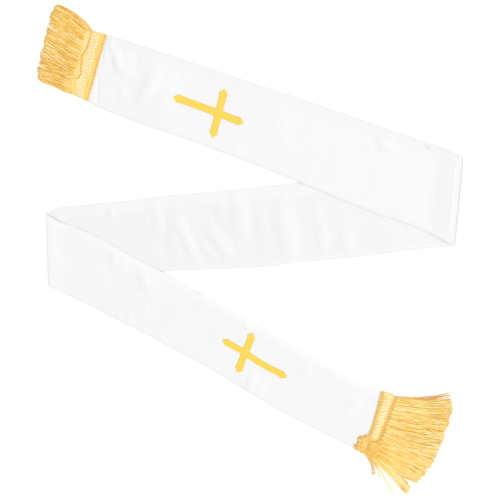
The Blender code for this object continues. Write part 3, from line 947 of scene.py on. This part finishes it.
def cross(along, across, foot, bend, wave):
    """Two crossing bars, the long one on top by a hair, each a closed slab with a rounded
    rim that follows the face. foot is 1 where the foot points to the lower end of the band,
    and -1 where it points to the upper end."""
    turned = math.radians(CROSS_TURN) + (math.pi if foot > 0 else 0)
    side, reach_foot = CROSS_REACH["side"], CROSS_REACH["foot"]
    slabs = []
    for back, on, angle, over in (
        (reach_foot, CROSS_REACH["head"], turned, LONG_BAR_OVER),
        (side, side, turned + math.pi / 2, 0.0),
    ):
        bar = bar_points(back, on)
        x, y = bar[..., 0], bar[..., 1]
        ahead = x * math.cos(angle) - y * math.sin(angle)
        aside = x * math.sin(angle) + y * math.cos(angle)
        down_foot = foot * ahead
        u, v = along + ahead, across + aside
        v = v + bend * (np.clip(down_foot, 0, None) / reach_foot) ** 2
        v = v - wave * np.cos((down_foot - WAVE_FROM) / WAVE_RUN)
        rim = CROSS_RIM + (CROSS_THICK + over - CROSS_RIM) * BAR_RIM
        top, under = on_face(u, v, CROSS_LOW + rim), on_face(u, v, CROSS_LOW)
        rings = np.concatenate([top, under[:, ::-1]], axis=1)
        slabs.append((rings[None], there_and_back(bar) * MM, there_and_back(BAR_SEWN, 0)))
    return slabs


crosses = []
for name, row in CROSSES.items():
    piece = tubes(f"gold_{name}", cross(**row), cross_finish, 50)
    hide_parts(name)
    crosses.append(piece)

# %% [markdown]
# ## Gold thread
#
# The fringe and its heading are of shiny viscose thread, from a pale gold to a deep orange that
# shows between the strands. The number called shade, from 0 to 1, is kept for every point of the
# mesh and picks the colour from a ramp. Besides the threads' own colour it carries painted shade:
# deeper on the lower layers of strands, between the stitches and on the underside of the heading,
# and in a dark cord beside the upper cord. The twist could be modelled, but there are far too
# many strands for that, so it is drawn as slanting stripes on the UV map.

# %% Gold thread
THREAD_COLOURS = (
    (0.0, (1.0, 0.93, 0.72)),
    (0.2, (1.0, 0.795, 0.28)),
    (0.5, (0.975, 0.66, 0.15)),
    (1.0, (0.84, 0.415, 0.06)),
)
# How much paler a stripe is, what is then added to the shade, the flecks in a metre, and the
# depth of the twist in metres.
STRIPE_PALER, SHADE_ADDED, FLECKS, TWIST_RELIEF = 0.16, 0.08, 700.0, 0.00012


def gold_thread(name, turns, pitch, fleck):
    """Twisted thread: stripes that wind round the strand, turns of them at once with a pitch
    in metres, and flecks, both on top of the shade of each point. On the UV map U goes once
    round the strand and V along it in metres."""
    thread = Finish(name, Sheen_Weight=0.15, Sheen_Roughness=0.35, IOR=1.5)
    place = {"Vector": thread.place()}
    around, length = (thread.node("ShaderNodeSeparateXYZ", {}, place, out) for out in (0, 1))
    turn = around * (2 * math.pi * turns) + length * (2 * math.pi / pitch)
    stripe = thread.node("ShaderNodeMath", {"operation": "SINE"}, {0: turn}) * 0.5 + 0.5
    shade = thread.shade()
    flecks = thread.noise(thread.node("ShaderNodeTexCoord", out=3), FLECKS, 2.0)
    share = shade + stripe * -STRIPE_PALER + flecks * fleck - (0.5 * fleck - SHADE_ADDED)
    ramp = {"stops": THREAD_COLOURS}
    thread.feed("Base Color", thread.node("ShaderNodeValToRGB", ramp, {"Fac": share}))
    thread.feed("Roughness", shade * 0.2 + 0.38)
    thread.relief(stripe, TWIST_RELIEF)
    return thread.material


strand_finish = gold_thread("gold_strands", 2, 0.0022, 0.4)
heading_finish = gold_thread("gold_heading", 3, 0.0016, 1.0)
print("thread finishes:", strand_finish.name, heading_finish.name)

# %% [markdown]
# ## Threads from paths
#
# A thread is a tube round a path. At every point of the path the tube needs two directions
# across it: one is level, at a right angle to the way ahead, and the other is at a right
# angle to both. That is enough for threads that lie on a surface.

# %% Threads round paths
THREAD_SIDES = 6


def thread_rings(paths, radius):
    """Rings round paths, which have an axis for the threads and one for the points along
    each, in metres. radius is in millimetres, one for all points or one for each."""
    ahead = np.gradient(paths, axis=1)
    aside = np.stack([-ahead[..., 1], ahead[..., 0], 0 * ahead[..., 0]], axis=-1)
    aside = aside / np.linalg.norm(aside, axis=-1, keepdims=True)
    upright = np.cross(ahead, aside)
    upright = upright / np.linalg.norm(upright, axis=-1, keepdims=True)
    angle = (np.arange(THREAD_SIDES) * 2 * math.pi / THREAD_SIDES)[:, None]
    ring = np.cos(angle) * aside[:, :, None] + np.sin(angle) * upright[:, :, None]
    radius = np.broadcast_to(radius, paths.shape[:2])[..., None, None]
    return paths[:, :, None] + ring * radius * MM


def threads(paths, radius, shade):
    """A group for tubes(): rings, the UV place of each point, and its shade."""
    rings = thread_rings(paths, radius)
    steps = np.linalg.norm(np.diff(paths, axis=1), axis=-1)
    length = np.pad(np.cumsum(steps, axis=1), ((0, 0), (1, 0)))[..., None]
    around = np.arange(THREAD_SIDES) / THREAD_SIDES
    place = np.stack(np.broadcast_arrays(around, length), axis=-1)
    return rings, place, np.broadcast_to(shade, paths.shape[:2])[..., None]


print("a thread has", THREAD_SIDES, "sides")

# %% [markdown]
# ## The heading of the fringe
#
# A fringe is woven onto a narrow braid, its heading, which is sewn over the end of the band.
# It could be a bumpy texture on a flat strip, but its threads are as thick as the strands, so
# they are real: a low woven bed, small loops along its inner edge, a zigzag of pale thread,
# and a twisted cord where the strands begin.

# %% The bed of the heading
OUTWARD = {"upper": -1, "lower": 1}
EDGE = {"upper": 0.0, "lower": BAND_LENGTH}
# v as a share of half the width, and how far the heading reaches over the band and past it
HEADING = {
    "upper": ((-1.00, 15.5, 4.5), (-0.80, 17.0, 10.0), (-0.50, 18.5, 12.5), (0.00, 21.4, 8.0),
              (1.00, 27.0, 3.0)),
    "lower": ((-1.00, 14.0, 1.0), (-0.54, 13.5, 1.0), (-0.40, 4.0, 11.0), (-0.10, 4.5, 11.0),
              (1.00, 11.0, 8.5)),
}
HEADING_SIDES = {"upper": (-50.0, 53.5), "lower": (-50.0, 54.0)}
HEADING_LOW, HEADING_HEIGHT = SKIN + SEAM_GAP, 1.9
# The bed's height as shares of that: at its rim, inside it, and a stitch on top, whose
# roundness is a power.
BED_RIM, BED_FLAT, BED_STITCH, BED_ROUND = 0.3, 0.2, 0.26, 0.7
# The stitches' pitch along the heading and the pitch of their rows, and the seed and size of
# the lumps where it is crushed. Then the rim, as a share across the bed and in mm at its ends.
LOOP_PITCH, ROW_PITCH, LUMP_SEED, LUMP_SIZE = 2.6, 2.1, 17, 4.5
RIM_SHARE, RIM_RUN = 0.05, 1.2
# Steps across the bed, of which its underside keeps every sixth, and the step along it.
BED_STEPS, UNDER_STEP, BED_PITCH = 36, 6, 0.55
# The bed's shade, what is added at its inner edge, the painted shade between stitches, what is
# added where it is crushed, and the painted shade of its underside. Then the run of the edge, and
# the height, seed and size of soft patches.
BED_SHADE, EDGE_SHADE, PAINTED_GAP_SHADE, CRUSHED_SHADE, PAINTED_UNDER_SHADE = 0.10, 0.3, 0.5, 0.18, 0.6
EDGE_RUN, PATCH_SHADE, PATCH_SEED, PATCH_SIZE = 2.6, 0.16, 23, 14
# The lower heading is crushed where v, as a share of half the width, is below this.
CRUSHED_TO, CRUSHED_RUN = -0.36, 0.1


def heading_line(end, v, past):
    """The u of the heading's inner line (past 0) and outer line (past 1), or between."""
    across, over, out = np.array(HEADING[end]).T
    inner = EDGE[end] - OUTWARD[end] * np.interp(v / HALF_WIDTH, across, over)
    outer = EDGE[end] + OUTWARD[end] * np.interp(v / HALF_WIDTH, across, out)
    return inner + (outer - inner) * past


def heading_width(end, v):
    """How wide the heading is at v, from its inner line to its outer one."""
    return np.abs(heading_line(end, v, 1.0) - heading_line(end, v, 0.0))


def crushed(end, v):
    """1 where the heading of the lower end is crushed, towards its narrow margin."""
    return smooth((CRUSHED_TO - v / HALF_WIDTH) / CRUSHED_RUN) * (end == "lower")


def with_underside(top, under):
    """Rows of the bed's top followed by its coarser underside, in reverse."""
    return np.concatenate([top, under[:, ::UNDER_STEP][:, ::-1]], axis=1)


def heading_bed(end):
    """A slab whose top is a brick-fashion field of stitches, sine times sine, lower at its rim
    and darker along its inner edge, with painted shade between the stitches and on its underside.
    Where it is crushed, the stitches are lumps."""
    v = np.arange(*HEADING_SIDES[end], BED_PITCH)[:, None]
    past = np.linspace(0, 1, BED_STEPS + 1)[None]
    u, v = np.broadcast_arrays(heading_line(end, v, past), v)
    inward = past * heading_width(end, v)
    row = inward / ROW_PITCH
    shift = 0.5 * (np.floor(row) % 2)
    loop = np.abs(np.sin(math.pi * (v / LOOP_PITCH + shift))) * np.abs(np.sin(math.pi * row))
    lump, flat = 0.5 + 0.5 * drift(u, v, LUMP_SEED, LUMP_SIZE), crushed(end, v)
    loop = loop * (1 - flat) + lump * flat
    inside = smooth(np.minimum(past, 1 - past) / RIM_SHARE)
    inside = inside * smooth(np.minimum(v - v[0], v[-1] - v) / RIM_RUN)
    high = BED_RIM + inside * (BED_FLAT + BED_STITCH * loop**BED_ROUND)
    top = on_face(u, v, HEADING_LOW + HEADING_HEIGHT * high)
    rings = with_underside(top, on_face(u, v, HEADING_LOW))
    edge = EDGE_SHADE * smooth((1 - inward / EDGE_RUN) * 2)
    patch = PATCH_SHADE * drift(u, v, PATCH_SEED, PATCH_SIZE)
    # Painted shade goes between the stitches here, and onto the underside in the next line.
    shade = BED_SHADE + patch + edge + PAINTED_GAP_SHADE * (1 - loop) ** 2 + CRUSHED_SHADE * flat
    shade = with_underside(shade, np.full(u.shape, PAINTED_UNDER_SHADE))
    spot = np.stack([row / 2, v * MM], axis=-1)
    return rings[None], with_underside(spot, spot), shade


widths = {end: round(float(heading_width(end, 0.0)), 1) for end in HEADING}
print("the headings are this wide in the middle, in mm:", widths)

# %% [markdown]
# The threads of the braid lie on the bed. Each has a path in the pattern: a place across the
# band, a share of the way from the inner line to the outer one, and a height. The cord at
# the outer line is two threads that wind round one another.

# %% The threads of the heading
# The loops: their pitch, half width as a share of it, reach, how far they start inside, the
# height of their middle, radius and shade.
PICOT_PITCH, PICOT_HALF, PICOT_REACH, PICOT_START = 4.9, 0.42, 3.5, 1.4
PICOT_HIGH, PICOT_RADIUS, PICOT_SHADE = 0.75, 0.6, 0.62
# The zigzag: its pitch, the shares of the way out at which it turns, how uneven they are, its
# height and how much that changes, radius, shade and seed.
ZIGZAG_PITCH, ZIGZAG_OUT, ZIGZAG_IN, ZIGZAG_LOOSE = 5.2, 0.74, 0.16, 0.05
ZIGZAG_HIGH, ZIGZAG_RISE, ZIGZAG_RADIUS, ZIGZAG_SHADE, ZIGZAG_SEED = 1.55, 0.25, 0.72, 0.04, 31
# where the twisted cord lies: across, share of the way to the outer line
CORD_LINE = {
    "upper": ((-0.52, 1.30), (-0.48, 1.02), (-0.42, 0.76), (-0.28, 0.68), (0.0, 0.82),
              (0.25, 0.93), (0.36, 0.84), (0.48, 0.77), (1.03, 0.75)),
    "lower": ((-0.42, 0.86), (-0.2, 0.90), (1.04, 0.90)),
}


def on_heading(end, v, past, n):
    """Points on the heading in metres, n above its foot."""
    return on_face(heading_line(end, v, past), v, HEADING_LOW + n)


def picots(end):
    """Small loops that stand out beyond the inner line."""
    low, high = HEADING_SIDES[end]
    centre = np.arange(low + 2, high - 1, PICOT_PITCH)[:, None]
    angle = np.linspace(-0.15, 1.15, 13)[None] * math.pi
    v = centre + PICOT_HALF * PICOT_PITCH * np.cos(angle)
    out = PICOT_REACH * np.sin(angle) - PICOT_START
    u = heading_line(end, v, 0.0) - OUTWARD[end] * out
    return threads(on_face(u, v, HEADING_LOW + PICOT_HIGH), PICOT_RADIUS, PICOT_SHADE)


def zigzag(end):
    """Pale thread to and fro between the inner edge and the cord, a little uneven, with its
    corners rounded by a mean of five neighbours. It stops where the heading is crushed."""
    low, high = HEADING_SIDES[end]
    random = np.random.default_rng(ZIGZAG_SEED)
    turns = np.arange(low + 1.5, high - 1, ZIGZAG_PITCH / 2)
    sides = np.where(np.arange(len(turns)) % 2, ZIGZAG_IN, ZIGZAG_OUT)
    sides = sides + random.normal(0, ZIGZAG_LOOSE, len(turns))
    v = np.linspace(turns[0], turns[-1], 8 * len(turns))
    past = np.interp(v, turns, sides)
    past = np.convolve(np.pad(past, 2, "edge"), np.full(5, 0.2), "valid")
    n = ZIGZAG_HIGH + ZIGZAG_RISE * np.sin(2 * math.pi * v / ZIGZAG_PITCH)
    keep = crushed(end, v) < 0.5
    return threads(on_heading(end, v, past, n)[None, keep], ZIGZAG_RADIUS, ZIGZAG_SHADE)


print("loops every", PICOT_PITCH, "mm and zigzags every", ZIGZAG_PITCH, "mm")

# %% The cord and the chain stitch
# The cord: its pitch, how far its threads wind to each side and up, its height, the step
# along it, and the radius of a thread. CORD_WIDTH stands for the heading's width where the
# length of the cord is worked out.
CORD_PITCH, CORD_ASIDE, CORD_UP, CORD_HIGH = 4.2, 0.6, 0.5, 1.45
CORD_STEP, CORD_RADIUS, CORD_WIDTH = 0.5, 0.72, 28
# The chain stitch: its pitch, how far it goes aside and up, its height and step, and its
# radius and how much that changes.
STITCH_PITCH, STITCH_ASIDE, STITCH_UP, STITCH_HIGH, STITCH_STEP = 2.4, 0.25, 0.2, 1.3, 0.6
STITCH_RADIUS, STITCH_SWELL = 0.5, 0.18


def cord(end, aside=0.0, shade=0.66):
    """The twisted cord: two threads that wind round its line, or beside it."""
    across, share = np.array(CORD_LINE[end]).T
    steps = np.hypot(np.diff(across) * HALF_WIDTH, np.diff(share) * CORD_WIDTH)
    run = np.append(0, np.cumsum(steps))
    at = np.arange(0, run[-1], CORD_STEP)
    turn = 2 * math.pi * at / CORD_PITCH
    v = np.interp(at, run, across) * HALF_WIDTH
    middle = np.interp(at, run, share) - aside
    paths = []
    for phase in (0, math.pi):
        past = middle + CORD_ASIDE * np.cos(turn + phase) / heading_width(end, v)
        paths.append(on_heading(end, v, past, CORD_HIGH + CORD_UP * np.sin(turn + phase)))
    return threads(np.array(paths), CORD_RADIUS, shade)


def chain(end, past, shade):
    """A straight thread along the heading, as of chain stitch."""
    low, high = HEADING_SIDES[end]
    v = np.arange(low + 1, high - 0.5, STITCH_STEP)
    v = v[crushed(end, v) < 0.5]
    stitch = np.sin(2 * math.pi * v / STITCH_PITCH)
    past = past + STITCH_ASIDE * stitch / heading_width(end, v)
    path = on_heading(end, v, past, STITCH_HIGH + STITCH_UP * np.abs(stitch))
    return threads(path[None], STITCH_RADIUS + STITCH_SWELL * stitch, shade)


print("the cord turns once in", CORD_PITCH, "mm")

# %% [markdown]
# Part of the lower heading is crushed, and short ends of thread stick out of it. They could
# be a hair system, but as tubes they are the same kind of thread as the rest of the braid.

# %% Tufts, and the whole heading
TUFTS, TUFT_STEPS, TUFT_SEED, TUFT_RADIUS, TUFT_HIGH = 380, 6, 41, 0.4, 1.1
# Where the tufts start, as a share of half the width, and their share that starts further out.
TUFTS_FROM, TUFTS_TO, TUFTS_OUT = -0.94, -0.42, 0.45


def tufts(end):
    """Short loose ends that stick out of the crushed part of the heading, every way. Each
    goes off at its own angle, bends as it goes and arches up in between."""
    random = np.random.default_rng(TUFT_SEED)
    ends = (TUFTS, 1)
    v = random.uniform(TUFTS_FROM, TUFTS_TO, ends) * HALF_WIDTH
    past = random.uniform(-0.05, 0.95, ends)
    past = past + random.uniform(0, 1.5, ends) * (random.random(ends) < TUFTS_OUT)
    angle = random.uniform(-2.2, 2.2, ends)
    step = random.uniform(2.5, 6.0, ends) / TUFT_STEPS
    share = np.linspace(0, 1, TUFT_STEPS + 1)[None]
    way = angle + random.normal(0, 0.7, ends) * share
    du = np.cumsum(np.cos(way) * step, axis=1) - np.cos(angle) * step
    u = heading_line(end, v, past) - OUTWARD[end] * du
    v = np.clip(v + np.cumsum(np.sin(way) * step, axis=1), *HEADING_SIDES[end])
    arch = random.uniform(0, 0.9, ends) * (1 - (2 * share - 1) ** 2)
    shade = random.uniform(0.1, 0.8, ends) + 0.25 * (past > 1)
    return threads(on_face(u, v, HEADING_LOW + TUFT_HIGH + arch), TUFT_RADIUS, shade)


def heading(end):
    """The bed and the braid on it. The upper cord has a darker one beside it as its painted
    shadow, and the lower heading has tufts."""
    groups = [picots(end), zigzag(end), chain(end, 0.16, 0.42)]
    if end == "lower":
        groups += [cord(end), chain(end, 0.75, 0.22), tufts(end)]
    else:
        # The second upper cord, dark and beside the pale one, is a painted shadow of it.
        groups += [cord(end, 0.0, 0.18), cord(end, 0.08, 0.8), chain(end, 0.97, 0.5)]
    bed = tubes(f"heading_{end}", [heading_bed(end)], heading_finish, 70)
    return bed, tubes(f"braid_{end}", groups, heading_finish)


headings = {end: heading(end) for end in ("upper", "lower")}

# %% [markdown]
# ## Strands
#
# The strands leave the outer line of the heading, come down to the surface and spread. Each
# is a tube along a path that turns steadily away from the band's direction. Hair particles
# could do this, but paths worked out here can be fanned, parted, gathered into locks and
# ended where the real ones end. All strands of a fringe are one array.

# %% Paths of strands
# across, turn at the root and at the tip in degrees, length
SPREAD = {
    "upper": ((-1.00, 1.0, -3.0, 59.5), (-0.75, -0.5, -1.5, 58.5), (-0.50, -3.0, -4.5, 55.5),
              (0.00, -7.0, -10.0, 58.0), (0.50, -11.0, -14.0, 57.5), (0.80, -17.0, -12.5, 58.0),
              (1.03, -26.0, -8.0, 56.5)),
    "lower": ((-0.79, -7.5, -13.0, 77.0), (-0.76, -2.0, -4.0, 81.5), (-0.65, 3.5, 7.5, 83.5),
              (-0.50, 4.5, 9.0, 81.5), (-0.40, 5.5, 11.0, 74.0), (0.00, 8.5, 17.5, 75.5),
              (0.68, 13.0, 26.5, 76.0), (1.03, 15.5, 31.0, 71.5)),
}
STRAND_LAYERS, STRAND_ROWS, STRAND_RADIUS = 4, 20, 0.5
# How far inside the outer line a strand starts, its height there, and how much higher each
# layer starts.
ROOT_INSIDE, ROOT_HIGH, ROOT_RISE = 1.2, 0.5, 0.32
# At this share of its length a strand has come down. Then its height on the surface and the
# rise of a layer, which sinks towards the tip by a share.
STRAND_LANDS, REST_HIGH, LAYER_RISE, TIP_SINKS = 0.72, 0.55, 0.62, 0.45


def band_direction(end):
    """The angle in the plane at which the band leaves its end."""
    inner = EDGE[end] - OUTWARD[end] * HALF_WIDTH
    ahead = lay(EDGE[end], 0.0, 0.0) - lay(inner, 0.0, 0.0)
    return math.atan2(ahead[1], ahead[0])


def strand_paths(end, v, past, first, last, length, layer, sway):
    """Paths of strands. v, past, first, last, length and layer have one number for each
    strand. A path turns from its first turn to its last, sways from side to side, and comes
    down from the heading to its layer on the surface. sway has rows of width, phase and
    number."""
    share = np.linspace(0, 1, STRAND_ROWS)[None]
    u = heading_line(end, v, past) - OUTWARD[end] * ROOT_INSIDE
    root = on_face(u, v, HEADING_LOW + ROOT_HIGH + ROOT_RISE * layer)
    middle = (share[:, 1:] + share[:, :-1]) / 2
    turn = first[:, None] + (last - first)[:, None] * middle
    width, phase, number = (column[:, None] for column in sway)
    angle = band_direction(end) + np.radians(turn) + width * np.sin(phase + number * middle)
    step = (length / (STRAND_ROWS - 1) * MM)[:, None]
    x = root[:, :1] + np.cumsum(np.pad(step * np.cos(angle), ((0, 0), (1, 0))), axis=1)
    y = root[:, 1:2] + np.cumsum(np.pad(step * np.sin(angle), ((0, 0), (1, 0))), axis=1)
    fallen = smooth(share / STRAND_LANDS)
    rest = (REST_HIGH + LAYER_RISE * layer[:, None] * (1 - TIP_SINKS * share**2)) * MM
    z = root[:, 2:] * (1 - fallen) + rest * fallen
    return np.stack([x, y, z], axis=-1)


directions = [round(math.degrees(band_direction(end))) for end in SPREAD]
print("the band leaves its ends at", directions, "degrees")

# %% [markdown]
# Most strands lie in layers over the whole heading. Their tips part in two places on the
# upper fringe. A few locks lie apart, and each is a row of its own.

# %% The strands
# across from and to, past, first turn from and to, last turn from and to, length, its
# spread, how much deeper in colour, count
LOCKS = {
    "upper": (
        (1.03, 1.07, 0.75, -33, -29, -2, 3, 60, 1.5, 0.2, 8),
        (0.98, 1.05, 0.90, -31, -24, -5, 0, 59, 1.5, 0, 26),
    ),
    "lower": (
        (-0.955, -0.945, 1.0, -32, -28, -84, -70, 34, 1, 0.5, 3),
        (-0.94, -0.92, 1.0, -32, -24, -44, -58, 69, 4, -0.15, 3),
        (-0.93, -0.92, 1.0, -26, -24, -59, -56, 39, 2, 0.3, 2),
        (-0.94, -0.80, 1.0, -17, -6, -33, -37, 75, 4, -0.1, 44),
        (-0.84, -0.60, 1.0, -26, -6, 4, 3, 77, 2, 0, 90),
        (-0.75, -0.45, 1.0, -6.0, 5.0, -6, 10, 79, 2.5, 0, 60),
        (1.01, 1.03, 1.0, 17, 21, 34, 41, 71, 1, 0.6, 4),
    ),
}
STRAND_COLUMNS, STRAND_SEEDS, TIP_SHARE = 100, {"upper": 71, "lower": 72}, 0.6
# The least shade, how far it wanders along a strand, the painted shade added for each layer
# further down, and what is added at a crushed root.
PALEST, WANDER, PAINTED_LAYER_SHADE, ROOT_SHADE = 0.14, 0.16, 0.08, 0.45
# The mean shade of the strands and its spread, and how uneven the turns are, in degrees.
MEAN_SHADE = {"upper": (0.50, 0.17), "lower": (0.31, 0.10)}
LOOSE = {"upper": 2.6, "lower": 1.5}
# Where the tips part: across, and the turn to each side in degrees. Close to a parting the
# strands keep only a small part of their own unevenness.
PARTINGS = {"upper": ((24, 3.2), (-29, 3.0)), "lower": ()}
PARTING_WIDTH, PARTING_ORDER = 7, 0.9


def layered(end, random):
    """The layers of fanned strands, one after the other: v, past, first and last turn, length,
    layer and how much deeper in colour, for each strand."""
    low, high = HEADING_SIDES[end]
    across, *columns = np.array(SPREAD[end]).T
    rows = []
    for layer in range(STRAND_LAYERS):
        v = np.linspace(low + 1, high - 1, STRAND_COLUMNS)
        v = v + random.uniform(-0.6, 0.6, STRAND_COLUMNS)
        v = v[v > across[0] * HALF_WIDTH]
        first, last, length = (np.interp(v / HALF_WIDTH, across, column) for column in columns)
        lean, curl = random.normal(0, LOOSE[end], (2, len(v)))
        length = length + random.normal(0, 1.2, len(v)) + 1.3 * np.sin(v / 2.9)
        for where, turn in PARTINGS[end]:
            near = bell(v - where, PARTING_WIDTH)
            lean, curl = (uneven * (1 - PARTING_ORDER * near) for uneven in (lean, curl))
            curl = curl + OUTWARD[end] * turn * near * np.sign(v - where)
        rows.append([v, np.ones(len(v)), first + lean, last + curl, length,
                     np.full(len(v), float(layer)), 0 * v])
    return rows


def locks(end, random):
    """The locks that lie apart, with the same numbers for each strand as layered()."""
    rows = []
    for v0, v1, past, first0, first1, last0, last1, length, spread, deep, count in LOCKS[end]:
        share = (np.arange(count) + 0.5) / count
        rows.append([
            (v0 + (v1 - v0) * share) * HALF_WIDTH,
            np.full(count, past),
            first0 + (first1 - first0) * share,
            last0 + (last1 - last0) * share + random.normal(0, 1.0, count),
            length + random.uniform(-spread, spread, count),
            random.integers(0, 3, count).astype(float),
            np.full(count, deep),
        ])
    return rows


def fringe(end):
    """All strands of a fringe as one piece. Each has its own mean shade, and wanders from it
    along its length. The lower layers are painted deeper in colour as painted shade, and crushed
    roots are deeper in colour too."""
    random = np.random.default_rng(STRAND_SEEDS[end])
    rows = layered(end, random) + locks(end, random)
    v, past, first, last, length, layer, own = np.concatenate(rows, axis=1)
    count = len(v)
    sway = (random.uniform(0.03, 0.07 * LOOSE[end], count), random.uniform(0, 6.3, count),
            random.uniform(6, 16, count))
    paths = strand_paths(end, v, past, first, last, length, layer, sway)
    mean, spread = MEAN_SHADE[end]
    own = own + mean + random.normal(0, spread, count)
    walk = np.cumsum(random.normal(0, WANDER, (count, STRAND_ROWS)), axis=1)
    walk = walk - walk.mean(axis=1, keepdims=True)
    # Painted shade: each layer further down is deeper in colour.
    deep = PAINTED_LAYER_SHADE * (STRAND_LAYERS - 1 - layer)
    root = np.linspace(1, 0, STRAND_ROWS)[None] ** 3 * crushed(end, v)[:, None]
    shade = (own + deep)[:, None] + walk + ROOT_SHADE * root
    radius = np.full(STRAND_ROWS, STRAND_RADIUS)
    radius[-1] = STRAND_RADIUS * TIP_SHARE
    group = threads(paths, radius, np.clip(shade, PALEST, 1))
    return tubes(f"strands_{end}", [group], strand_finish)


strands = {end: fringe(end) for end in ("upper", "lower")}
for end, piece in strands.items():
    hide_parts(f"fringe_{end}")

# The face was cut 127.5 mm wide, which is 104 mm, its two margins and the rounded edges, and
# the back strip 83.5 mm.

# %% The trim pieces in one list
trims = crosses + [piece for pair in headings.values() for piece in pair]
trims += list(strands.values())

# %% [markdown]
# ## Floor and light
#
# A plain white surface, one large soft lamp and an even sky give white cloth its shape
# through slow changes of grey. The lamp is to the right, so each ridge is a little darker on
# its left.

# %% Floor and light
floor_finish = Finish("floor", Base_Color=(0.95, 0.95, 0.95, 1), Roughness=0.9,
                      Emission_Color=(1, 1, 1, 1), Emission_Strength=0.12)
FLOOR_REACH, FLOOR_HEIGHT = 3.0, -0.0001
floor_mesh = bpy.data.meshes.new("floor")
corners = [(FLOOR_REACH * x, FLOOR_REACH * y, FLOOR_HEIGHT)
           for x, y in ((-1, -1), (1, -1), (1, 1), (-1, 1))]
floor_mesh.from_pydata(corners, [], [(0, 1, 2, 3)])
floor_mesh.materials.append(floor_finish.material)
floor = added(bpy.data.objects.new("floor", floor_mesh))


def softbox(name, place, size, power):
    """A square area lamp that looks at the middle of the stole."""
    lamp = added(bpy.data.objects.new(name, bpy.data.lights.new(name, "AREA")))
    lamp.data.shape, lamp.data.size, lamp.data.energy = "SQUARE", size, power
    place = Vector(place)
    lamp.matrix_world = aimed(place, place.normalized(), Vector((0, 1, 0)))


KEY_PLACE, KEY_SIZE, KEY_POWER, SKY_STRENGTH = (8.1, 0.3, 11.2), 6.7, 1080, 0.68
softbox("key", KEY_PLACE, KEY_SIZE, KEY_POWER)
world = bpy.data.worlds.new("studio")
world.use_nodes = True
sky = world.node_tree.nodes["Background"].inputs
sky["Color"].default_value = (1, 1, 1, 1)
sky["Strength"].default_value = SKY_STRENGTH
bpy.context.scene.world = world
bpy.context.scene.view_settings.view_transform = "Standard"
print(f"a floor, a {KEY_SIZE} m lamp and a sky of {SKY_STRENGTH}")
